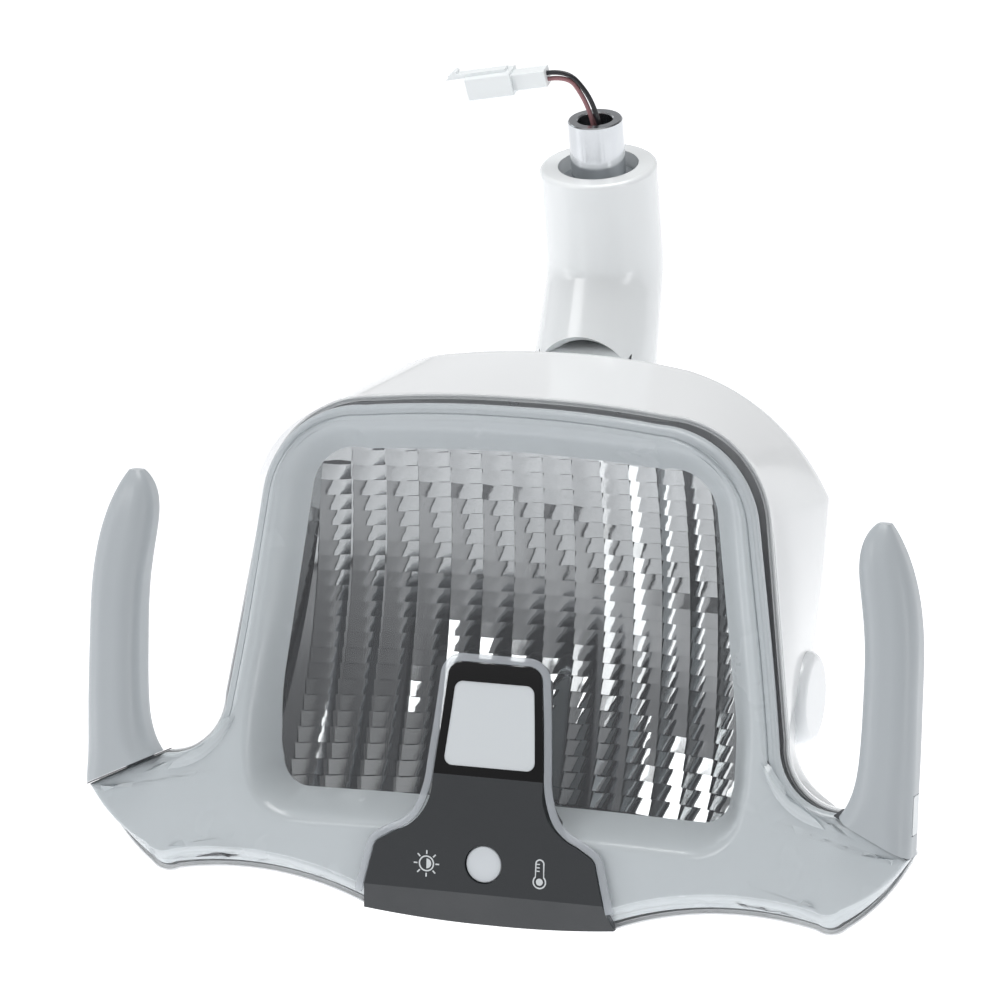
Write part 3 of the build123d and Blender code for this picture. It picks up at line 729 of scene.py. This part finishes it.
# ---- bezel ----
class BuildBezel(bpy.types.Operator):
    """Grey bezel: sloping band, raised arch, wings and the rounded slope to the window"""

    bl_idname = "operating_light.bezel"
    bl_label = "Bezel"

    def execute(self, context):
        bezel = context.scene.light_bezel
        measures = (bezel.gap, bezel.shift, bezel.band, bezel.mouth)
        gap, shift, band, mouth_w = (measure / MM for measure in measures)
        low_half = weights(SIDE_COUNTS, [(0, 0)] * 6 + [(0, 1)] + [(1, 1)] * 3)
        runs = [(0, 0)] * 3 + [(0, 1)] + [(1, 1)] * 2 + [(1, 0)] + [(0, 0)] * 3
        seam_half = weights(SIDE_COUNTS, runs)
        low, seam = (half + half[-2:0:-1] for half in (low_half, seam_half))
        gaps = [blend(blend(gap, 1.0, a), 0.3, b) for a, b in zip(low, seam)]
        rim = inset(full_loop(half_loop(head_runs(8), SIDE_COUNTS)), gaps)
        margins = [blend(g, 3.4, a) for g, a in zip(gaps, low)]
        hem = inset(full_loop(half_loop(head_runs(0), SIDE_COUNTS)), margins)
        window = full_loop(half_loop(WINDOW_RUNS, SIDE_COUNTS))
        runs = [(1, 1)] * 3 + [(1, 1.45), (1.45, 0.0)] + [(0, 0)] * 5
        half = weights(SIDE_COUNTS, runs)
        share = half + half[-2:0:-1]
        rings = [[at(x, blend(front(z) + shift + 5.5, 1.2, a), z) for (x, z), a in zip(hem, low)]]

        def ring(plain, banded, sink):
            """One ring inside the rim, sunk behind the surface, with and without the band."""
            reach = [blend(plain * (1 - 0.55 * a), banded, s) for s, a in zip(share, low)]
            points = inset(rim, reach, ease=3)
            row = []
            for (x, z), s in zip(points, share):
                row.append(at(x, front(z) + shift + blend(*sink, min(1, s)), z))
            rings.append(row)
            return points

        for plain, banded, *sink in (
            (0.1, 0.1, 1.6, 3.6),
            (0.5, 0.5, 0.7, 2.5),
            (1.2, 1.2, 0.2, 1.8),
            (1.9, 1.9, 0.05, 1.5),
            (2.6, band * 0.5, 0.0, 1.3),
            (3.3, band - 0.2, 0.0, 1.15),
            (3.6, band, 0.0, 1.7),
            (3.9, band + 0.2, 0.0, 1.7),
            (4.2, band + 0.35, 0.0, 0.5),
            (4.5, band + 0.5, 0.0, 0.12),
            (5.0, band + 0.8, 0.0, 0.0),
        ):
            step = ring(plain, banded, sink)
        mouth = inset(window, -mouth_w)
        levels = 9
        for i in range(1, levels + 1):
            t = i / levels
            points = [(blend(a, c, t), blend(b, d, t)) for (a, b), (c, d) in zip(step, mouth)]
            swell = 0.45 * math.sin(math.pi * t)
            rings.append(
                [at(x, front(z) + shift - swell * min(1, s), z) for (x, z), s in zip(points, share)]
            )
        depth = bezel.window_depth / MM
        levels = 12
        for i in range(1, levels + 1):
            t = i / levels
            drop = t * t * (1.9 - 0.9 * t)
            row = []
            for (a, b), (c, d) in zip(mouth, window):
                x, z = blend(a, c, t), blend(b, d, t)
                row.append(at(x, blend(front(b) + shift, depth, drop), z))
            rings.append(row)
        lip = inset(window, -0.3)
        rings.append([at(x, depth + 1.2, z) for x, z in lip])
        mesh = ring_mesh("bezel_moulding", rings)
        faces_front(mesh)
        piece = wall(new_object("bezel_moulding", mesh), bezel.thickness)
        smooth(piece.data, 40)
        finish = moulded("bezel_grey", bezel.tint, 0.26, 0.03, 700, 0.015, 0.35)
        dress(piece, finish, "head", "bezel_grey", "bezel")
        return {"FINISHED"}


# ---- casing ----
class BuildCasing(bpy.types.Operator):
    """White rear casing, flowing from the wings into the rounded body"""

    bl_idname = "operating_light.casing"
    bl_label = "Rear casing"

    def execute(self, context):
        casing = context.scene.light_casing
        outline = full_loop(half_loop(head_runs(0), SIDE_COUNTS))
        body = full_loop(half_loop(BODY_RUNS, SIDE_COUNTS))
        runs = [(0, 0), (0, 0), (0, 0.25), (0.25, 1)] + [(1, 1)] * 5 + [(1, 0.8)]
        half = weights(SIDE_COUNTS, runs)
        wing = half + half[-2:0:-1]
        ledge, back = casing.ledge / MM, casing.back / MM
        edge = [parting(z) + 0.3 for _, z in outline]
        rings = [
            [at(x, y + 1.6, z) for (x, z), y in zip(inset(outline, 2.2), edge)],
            [at(x, y, z) for (x, z), y in zip(inset(outline, 0.9), edge)],
            [at(x, y + 0.1, z) for (x, z), y in zip(inset(outline, 0.35), edge)],
            [at(x, y + 0.5, z) for (x, z), y in zip(inset(outline, 0.1), edge)],
        ]
        taper = [6.5 * w for w in wing]
        rear_edge = inset(outline, [0.1 + t for t in taper], ease=6)
        starts = [blend(y + 1.5, ledge, w) for y, w in zip(edge, wing)]
        for i in range(1, 7):
            t = i / 6
            row = []
            for (a, b), (c, d), y, start in zip(inset(outline, 0.1), rear_edge, edge, starts):
                row.append(at(blend(a, c, t * t), blend(y + 0.5, start, t), blend(b, d, t * t)))
            rings.append(row)
        levels, corner = 22, 10.0
        for i in range(1, levels + 1):
            t = i / levels
            row = []
            for (a, b), (c, d), start, w in zip(rear_edge, body, starts, wing):
                inwards = blend(t, 1 - (1 - t) ** 2.6, w)
                deeper = blend(t, 0.1 * math.sin(math.pi * t) + t**2.4, w)
                depth = blend(start, back - corner, deeper)
                row.append(at(blend(a, c, inwards), depth, blend(b, d, inwards)))
            rings.append(row)
        for i in range(1, 9):
            turn = math.radians(90 * i / 8)
            points = inset(body, 9.0 * (1 - math.cos(turn)), ease=10)
            depth = back - corner * (1 - math.sin(turn))
            rings.append([at(x, depth, z) for x, z in points])
        last = inset(body, 9.0, ease=10)
        for share in (0.25, 0.5, 0.75, 0.97):
            rings.append([at(x * (1 - share), back, blend(z, 46, share)) for x, z in last])
        mesh = self.closed(ring_mesh("casing_shell", rings), len(rings[-1]))
        if self.inside_out(mesh):
            mesh.flip_normals()
        piece = wall(new_object("casing_shell", mesh), casing.thickness)
        smooth(piece.data, 40)
        finish = moulded("casing_gloss", casing.tint, 0.2, 0.04, 500, 0.008, 0.5)
        dress(piece, finish, "head", "casing_white", "rear_casing")
        return {"FINISHED"}

    def closed(self, mesh, count):
        """Closes the innermost ring of the back with one face."""
        verts = [tuple(v.co) for v in mesh.vertices]
        faces = [tuple(face.vertices) for face in mesh.polygons]
        faces.append(tuple(range(len(verts) - count, len(verts))))
        made = bpy.data.meshes.new(mesh.name)
        made.from_pydata(verts, [], faces)
        made.update()
        return made

    def inside_out(self, mesh):
        """Whether the back's faces look forwards, so the shell is inside out."""
        return sum(face.normal.dot(BACK) * face.area for face in mesh.polygons) < 0


# ---- painted shade in the handle seams ----
class BuildSeamShade(bpy.types.Operator):
    """Dark strips in the seams under the two handles: painted shade in the slit between handle and wing"""

    bl_idname = "operating_light.seals"
    bl_label = "Seam shade strips"

    def execute(self, context):
        # Dark grey strips filling the seams are painted shade where the slit between handle and wing falls dark.
        finish = moulded("seam_shade_grey", rgb(70, 73, 77), 0.6, 0.2, 1200)
        for side, name in ((-1, "seam_shade_left"), (1, "seam_shade_right")):
            seam = line((137.4, -22.2), (166.4, -36.2), 12) + [(166.4, -36.2)]
            rings = []
            section = ((0.0, 0.5), (0.42, 0.5), (0.5, 1.2), (0.5, 15.0), (0.42, 15.6), (0.0, 15.6))
            for lift, depth in section:
                rings.append([at(side * x, front(z) + depth, z + lift) for x, z in seam])
            mesh = ring_mesh(name, rings, closed=False, wrap=True, caps=True)
            turn_outwards(mesh)
            smooth(mesh)
            dress(new_object(name, mesh), finish, "head", "rubber_black")
        return {"FINISHED"}


# ---- clear cover ----
def clear_plastic(name, tint, haze_and_sheen, edge):
    """Clear moulding: nearly open over the window, its opacity growing towards the top as a painted sheen of the
    lamps above, with a set base opacity that is raised for pieces mostly seen edge on.
    """
    finish = Finish(name, IOR=1.5, Coat_Roughness=0.03)
    height = finish.node("ShaderNodeSeparateXYZ", None, {0: finish.place()}, out="Z")
    bloom = finish.noise(11.0, 2.0)
    top = FACE_ORIGIN.z + 0.1
    finish.set("Base Color", finish.colours(bloom, shade(tint, 0.97), shade(tint, 1.02)))
    finish.set("Roughness", finish.noise(35.0, 3.0) * 0.05 + 0.05)
    # Opacity rising towards the top of the window is a painted sheen of the lamps above.
    finish.set("Alpha", height.over(top - 0.045, top + 0.01) * haze_and_sheen + bloom * 0.03 + edge)
    finish.bump(finish.noise(16.0), 0.04, 0.0006)
    return finish.material


def sheet(z):
    """Depth of the cover's face, which dips a little towards its lower edge."""
    return front(z) + max(0.0, -63.0 - z) * 0.1


class BuildCover(bpy.types.Operator):
    """Clear cover with its skirt, bevelled lower edge and raised rim round the panel"""

    bl_idname = "operating_light.cover"
    bl_label = "Clear cover"

    def execute(self, context):
        cover = context.scene.light_cover
        rise, rounding = cover.rise / MM, cover.rounding / MM
        outer = open_loop(half_loop(head_runs(0)[:9], PANEL_COUNTS))
        lifted = open_loop(half_loop(head_runs(rise)[:9], PANEL_COUNTS))
        panel = open_loop(half_loop(PANEL_RUNS, PANEL_COUNTS))
        half = weights(PANEL_COUNTS, [(0, 0)] * 6 + [(0, 1), (1, 1), (1, 1)])
        low_edge = list(reversed(half[1:])) + half
        runs = [(0, 0)] * 3 + [(0, 1)] + [(1, 1)] * 2 + [(1, 0)] + [(0, 0)] * 2
        half = weights(PANEL_COUNTS, runs)
        seam = list(reversed(half[1:])) + half
        rounds = [blend(blend(rounding, 0.3, w), 0.5, k) for w, k in zip(low_edge, seam)]
        brow = inset(lifted, rounds, closed=False)
        hole = inset(panel, -0.35, closed=False)
        skirt = [[at(x, parting(z), z) for x, z in outer]]
        levels = 6
        for i in range(levels + 1):
            t = i / levels
            out, up = 1 - math.cos(t * math.pi / 2), math.sin(t * math.pi / 2)
            row = []
            for (a, b), (c, d), w in zip(outer, brow, low_edge):
                share, lift = blend(out, t, w), blend(up, t, w)
                x, z = blend(a, c, share), blend(b, d, share)
                start = blend(front(b) + rounding * 0.8, min(parting(b) - 0.4, 1.0), w)
                row.append(at(x, blend(start, front(d), lift), z))
            skirt.append(row)
        skirt.append([at(x, sheet(z), z) for x, z in inset(brow, 0.5, closed=False)])
        levels = 22
        for i in range(1, levels + 1):
            t = i / levels
            points = [(blend(a, c, t), blend(b, d, t)) for (a, b), (c, d) in zip(brow, hole)]
            skirt.append([at(x, sheet(z), z) for x, z in points])
        mesh = ring_mesh("clear_cover", skirt, closed=False)
        faces_front(mesh)
        piece = wall(new_object("clear_cover", mesh), cover.thickness)
        smooth(piece.data, 40)
        # The cover takes 0.08 of painted sheen towards its top and 0.035 of base opacity.
        finish = clear_plastic("clear_cover", cover.tint, 0.08, 0.035)
        dress(piece, finish, "head", "clear_cover", "front_cover")
        self.rim(panel, cover)
        return {"FINISHED"}

    def rim(self, panel, cover):
        """Raised half-round rim that frames the control panel."""
        width = cover.rim / MM
        profile = (
            (0.1, 1.2), (0.12, -0.4), (0.2, -0.6), (0.34, -0.7), (0.5, -0.74),
            (0.68, -0.7), (0.84, -0.5), (0.95, -0.3), (1.0, 0.3), (0.9, 1.2),
        )
        rings = []
        for out, proud in profile:
            points = inset(panel, -out * width, closed=False)[1:-1]
            rings.append([at(x, front(z) + proud, z) for x, z in points])
        mesh = ring_mesh("panel_rim", rings, closed=False, wrap=True, caps=True)
        turn_outwards(mesh)
        smooth(mesh, 50)
        finish = clear_plastic("rim_plastic", rgb(205, 210, 216), 0.0, 0.42)
        dress(new_object("panel_rim", mesh), finish, "head", "clear_cover")


# ---- faceted mirror ----
class BuildMirror(bpy.types.Operator):
    """Stepped facets on the mirror bowl, laid out by Geometry Nodes"""

    bl_idname = "operating_light.mirror"
    bl_label = "Faceted mirror"

    def execute(self, context):
        mirror = context.scene.light_mirror
        finish = self.coating(mirror.tint)
        host = new_object("mirror_facets", self.centres(mirror))
        tree = self.facet_tree(finish)
        modifier = host.modifiers.new("facets", "NODES")
        modifier.node_group = tree
        items = tree.interface.items_tree
        names = {item.name: item.identifier for item in items if item.in_out == "INPUT"}
        modifier[names["Crown"]] = mirror.crown
        applied(host)
        smooth(host.data, 24)
        dress(host, finish, "head", "mirror")
        frame["nodes"]["reflector"].data.materials.clear()
        frame["nodes"]["reflector"].data.materials.append(finish)
        return {"FINISHED"}

    def coating(self, tint):
        """Bright coating on a moulding: dark and light streaks down the columns, painted reflection and shade of
        the facets, and a slightly softened gloss.
        """
        finish = Finish("mirror_coating")
        streak = finish.noise(160.0, 2.0, finish.place(scale=(1, 0.15, 0.15)))
        cell = finish.noise(42.0, 1.0, finish.place(scale=(1, 0.4, 0.4)))
        # Streaks down the columns darken and lighten the coating's colour: painted reflection and shade.
        uneven = streak * 0.5 + cell * 0.5
        finish.set("Base Color", finish.colours(uneven, shade(tint, 0.62), shade(tint, 1.1)))
        finish.set("Metallic", 1.0)
        finish.set("Roughness", streak * 0.05 + 0.05)
        return finish.material

    def centres(self, mirror):
        """One vertex for each facet, with its turn and size as attributes."""
        bowl, deepest = mirror.bowl / MM, mirror.deepest / MM
        pitch, middle = mirror.pitch / MM, 36.0
        points, turns, sizes = [], [], []
        width = 178.0 / mirror.columns
        for row in range(mirror.rows):
            z = -37.0 + pitch * (row + 0.5)
            for column in range(mirror.columns):
                x = (column + 0.5 - mirror.columns / 2) * width * (1.0 - 0.0006 * (z - middle))
                if not self.inside(x, z, width):
                    continue
                depth = deepest - bowl + math.sqrt(bowl**2 - x * x - (z - middle) ** 2)
                normal = Vector((-x, deepest - bowl - depth, middle - z)).normalized()
                facing = Vector((normal.x, 0, 0)) + BACK * normal.y + UP * normal.z
                across = facing.cross(UP).normalized() * -1
                upright = facing.cross(across).normalized()
                if upright.dot(UP) < 0:
                    across, upright = -across, -upright
                basis = Matrix((across, upright, across.cross(upright))).transposed()
                tilt = Matrix.Rotation(math.radians(-3.5), 3, "X")
                points.append(at(x, depth - 1.6, z))
                turns.append((basis @ tilt).to_euler())
                sizes.append((width * MM * 1.0, pitch * MM * 1.04, 1.0))
        mesh = bpy.data.meshes.new("mirror_facets")
        mesh.from_pydata([tuple(p) for p in points], [], [])
        for name, values in (("turn", turns), ("size", sizes)):
            store = mesh.attributes.new(name, "FLOAT_VECTOR", "POINT")
            store.data.foreach_set("vector", [part for value in values for part in value])
        return mesh

    def inside(self, x, z, width):
        """Whether a facet centre lies in the mirror's outline."""
        side = blend(95.5, 82, max(0, min(1, (z + 36) / 140))) - width * 0.12
        corner = 6.0 if z > 92 else 0.0
        return abs(x) < side - corner and -37 < z < 104

    def facet_tree(self, finish):
        """Facet: a crowned tile whose ridge leans, on each point by its turn and size."""
        tree = bpy.data.node_groups.new("facet_layout", "GeometryNodeTree")
        face = tree.interface
        face.new_socket("Geometry", in_out="INPUT", socket_type="NodeSocketGeometry")
        crown = face.new_socket("Crown", in_out="INPUT", socket_type="NodeSocketFloat")
        crown.default_value = 0.0015
        face.new_socket("Geometry", in_out="OUTPUT", socket_type="NodeSocketGeometry")

        def node(kind, values=None, **settings):
            made = tree.nodes.new(kind)
            for name, value in settings.items():
                setattr(made, name, value)
            for key, value in (values or {}).items():
                if isinstance(value, bpy.types.NodeSocket):
                    tree.links.new(value, made.inputs[key])
                else:
                    made.inputs[key].default_value = value
            return made

        def maths(operation, a, b=0.0, c=0.0):
            return node("ShaderNodeMath", {0: a, 1: b, 2: c}, operation=operation).outputs[0]

        entry = node("NodeGroupInput")
        values = {"Size X": 1.0, "Size Y": 1.0, "Vertices X": 7, "Vertices Y": 4}
        tile = node("GeometryNodeMeshGrid", values)
        split = node("ShaderNodeSeparateXYZ", {0: node("GeometryNodeInputPosition").outputs[0]})
        lean = maths("MULTIPLY_ADD", split.outputs["Y"], -0.22, split.outputs["X"])
        away = maths("ABSOLUTE", lean)
        height = maths("MULTIPLY", maths("MULTIPLY_ADD", away, -1.7, 0.8), entry.outputs["Crown"])
        lift = node("ShaderNodeCombineXYZ", {"Z": height})
        inputs = {"Geometry": tile.outputs["Mesh"], "Offset": lift.outputs[0]}
        shaped = node("GeometryNodeSetPosition", inputs)
        turn = node("GeometryNodeInputNamedAttribute", {"Name": "turn"}, data_type="FLOAT_VECTOR")
        size = node("GeometryNodeInputNamedAttribute", {"Name": "size"}, data_type="FLOAT_VECTOR")
        laid = node(
            "GeometryNodeInstanceOnPoints",
            {
                "Points": entry.outputs["Geometry"],
                "Instance": shaped.outputs[0],
                "Rotation": turn.outputs["Attribute"],
                "Scale": size.outputs["Attribute"],
            },
        )
        real = node("GeometryNodeRealizeInstances", {"Geometry": laid.outputs[0]})
        coat = node("GeometryNodeSetMaterial", {"Geometry": real.outputs[0], "Material": finish})
        node("NodeGroupOutput", {0: coat.outputs[0]})
        return tree


# ---- signs on the control panel ----
class BuildSigns(bpy.types.Operator):
    """Brightness and warmth signs printed on the control panel"""

    bl_idname = "operating_light.signs"
    bl_label = "Panel signs"

    def execute(self, context):
        signs = context.scene.light_panel
        self.verts, self.faces = [], []
        self.low = front(-54) - 0.8
        x, z, stroke = signs.sign_x / MM, signs.sign_z / MM, signs.stroke / MM
        self.sun(-x, z, stroke)
        self.thermometer(x, z, stroke)
        mesh = bpy.data.meshes.new("panel_signs")
        mesh.from_pydata([tuple(p) for p in self.verts], [], self.faces)
        mesh.update()
        made = new_object("panel_signs", mesh)
        dress(made, moulded("sign_print", signs.tint, 0.5, 0.05, 2200), "head", "pale_window")
        return {"FINISHED"}

    def plate(self, outer, inner=None):
        """Thin raised plate with one outline, or a band between two."""
        n, base = len(outer), len(self.verts)
        near, far = self.low - 0.08, self.low + 0.15
        loops = [(outer, near), (outer, far)]
        if inner:
            loops = [(outer, near), (outer, far), (inner, far), (inner, near)]
        for points, depth in loops:
            self.verts += [at(x, depth, z) for x, z in points]
        count = len(loops)
        for k in range(count if inner else 1):
            there = (k + 1) % count
            for i in range(n):
                j = (i + 1) % n
                near, far = base + k * n, base + there * n
                quad = (near + j, near + i, far + i, far + j)
                self.faces.append(quad)
        if not inner:
            self.faces.append([base + i for i in range(n)])
            self.faces.append([base + n + i for i in reversed(range(n))])

    def circle(self, x, z, radius, start=0.0, sweep=360.0, steps=36):
        """Clockwise points of a circle or of a part of it, as seen from the front."""
        turns = [math.radians(start - sweep * i / steps) for i in range(steps + (sweep < 360))]
        return [(x + radius * math.cos(t), z + radius * math.sin(t)) for t in turns]

    def bar(self, x, z, angle, near, far, stroke):
        """Straight printed line from one radius to another."""
        c, s, w = math.cos(angle), math.sin(angle), stroke / 2
        corners = ((near, w), (far, w), (far, -w), (near, -w))
        self.plate([(x + r * c - t * s, z + r * s + t * c) for r, t in corners])

    def sun(self, x, z, stroke):
        self.plate(self.circle(x, z, 3.15), self.circle(x, z, 3.15 - stroke))
        self.plate(self.circle(x, z, 1.95, 90, 180, 20))
        for i in range(8):
            self.bar(x, z, math.pi / 4 * i, 3.7, 5.2, stroke)

    def thermometer(self, x, z, stroke):
        bulb, tube, low, high = 2.75, 1.85, z - 3.1, z + 4.0
        cut = math.degrees(math.asin(tube / bulb))

        def outline(shrink):
            head = self.circle(x, high, tube - shrink, 180, 180, 16)
            around = self.circle(x, low, bulb - shrink, 90 - cut, 360 - 2 * cut, 40)
            return head + around

        self.plate(outline(0), outline(stroke))
        self.plate(self.circle(x, low, 1.4, steps=24))
        for i in range(3):
            self.bar(x - tube + stroke, high - 0.2 - 1.35 * i, 0, 0, 1.3, stroke * 0.75)


# ---- finishes of the pieces carried over from the CAD ----
def carried_finishes(scene):
    """One finish for each material slot of the record."""
    grey = scene.light_handle.tint
    return {
        # The post's vertical dark and light streaks, at a high contrast, are painted reflection bands of the
        # lamps.
        "aluminium": metal("turned_aluminium", rgb(214, 217, 220), 0.2, (1, 1, 0.04), 120, 0.3),
        "spring_steel": metal("spring_steel", rgb(206, 209, 212), 0.22, (1, 1, 6), 60),
        "rubber_black": moulded("black_rubber", rgb(40, 40, 42), 0.7, 0.3, 1200),
        "wire_black": moulded("black_core", rgb(38, 38, 42), 0.34),
        "wire_red": moulded("red_core", rgb(158, 112, 116), 0.38),
        "connector_white": moulded("connector_nylon", rgb(244, 248, 249), 0.42, 0.12, 900, 0.03),
        "brass_pin": metal("brass", rgb(206, 172, 92), 0.2, (60, 1, 1), 40),
        "neck_white": enamel("neck_enamel", rgb(243, 246, 247)),
        "bearing_plastic": moulded("bearing_plastic", rgb(58, 58, 62), 0.45, 0.2),
        "steel": metal("ground_steel", rgb(176, 178, 181), 0.26, (60, 1, 1), 30),
        "casing_white": moulded("casing_white", rgb(238, 241, 243), 0.24, 0.05, 500, 0.012, 0.4),
        "clear_cover": moulded("cover_underlay", rgb(214, 216, 224), 0.1),
        "bezel_grey": moulded("bezel_underlay", rgb(190, 197, 200), 0.26),
        "mirror": metal("mirror_back", rgb(190, 193, 194), 0.1, (6, 1, 1), 50),
        "panel_anthracite": moulded("panel_anthracite", rgb(45, 48, 51), 0.55, 0.4, 2400, 0.06),
        "gloss_black": moulded("gloss_black", rgb(12, 12, 13), 0.16, 0.03, 400, 0.2),
        "pale_window": moulded("sensor_window", rgb(214, 219, 222), 0.34, 0.12, 1600, 0.012),
        "button_grey": moulded("button_grey", rgb(216, 221, 225), 0.38, 0.1, 1400, 0.012),
        "circuit_green": board("circuit_green", rgb(42, 104, 62)),
        "switch_black": moulded("switch_black", rgb(34, 34, 36), 0.4, 0.1),
        "led_chip": moulded("led_ceramic", rgb(236, 214, 96), 0.4, 0.1),
        "lens_clear": moulded("lens_clear", rgb(222, 228, 230), 0.08, 0.0, 300, 0.01, 0.6),
        "chassis_steel": metal("zinc_sheet", rgb(172, 176, 178), 0.32, (1, 1, 1), 90),
        "engine_black": moulded("engine_black", rgb(44, 45, 48), 0.5, 0.25),
        "handle_grey": moulded("handle_grey", grey, 0.36, 0.12, 1500, 0.02),
        "tab_white": moulded("tab_white", rgb(230, 235, 237), 0.36, 0.08, 1200, 0.012),
    }


class BuildFinishes(bpy.types.Operator):
    """Finishes of the parts that keep their CAD shape"""

    bl_idname = "operating_light.finishes"
    bl_label = "CAD finishes"

    def execute(self, context):
        finishes = carried_finishes(context.scene)
        for part in frame["record"]["subparts"]:
            node = frame["nodes"][part["node"]]
            node.data.materials.clear()
            node.data.materials.append(finishes[part["material_slot"]])
        return {"FINISHED"}


OPERATORS = (
    BuildStage,
    BuildCables,
    BuildFinishes,
    BuildBezel,
    BuildCasing,
    BuildSeamShade,
    BuildCover,
    BuildMirror,
    BuildSigns,
)


class LightPanel(bpy.types.Panel):
    """Buttons and settings of the operating light"""

    bl_idname = "VIEW3D_PT_operating_light"
    bl_label = "Operating Light"
    bl_space_type = "VIEW_3D"
    bl_region_type = "UI"
    bl_category = "Operating Light"

    def draw(self, context):
        for operator in OPERATORS:
            self.layout.operator(operator.bl_idname)
        for name, group in GROUPS.items():
            box = self.layout.box()
            box.label(text=group.__doc__)
            for setting in group.__annotations__:
                box.prop(getattr(context.scene, name), setting)


def register():
    for made in (*GROUPS.values(), *OPERATORS, LightPanel):
        bpy.utils.register_class(made)
    for name, group in GROUPS.items():
        setattr(bpy.types.Scene, name, bpy.props.PointerProperty(type=group))


def unregister():
    for name in GROUPS:
        delattr(bpy.types.Scene, name)
    for made in reversed((*GROUPS.values(), *OPERATORS, LightPanel)):
        bpy.utils.unregister_class(made)


def corners():
    return [list(corner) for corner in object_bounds()]


def main():
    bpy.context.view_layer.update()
    register()
    for operator in OPERATORS:
        group, name = operator.bl_idname.split(".")
        getattr(getattr(bpy.ops, group), name)()


if __name__ == "__main__":
    main()
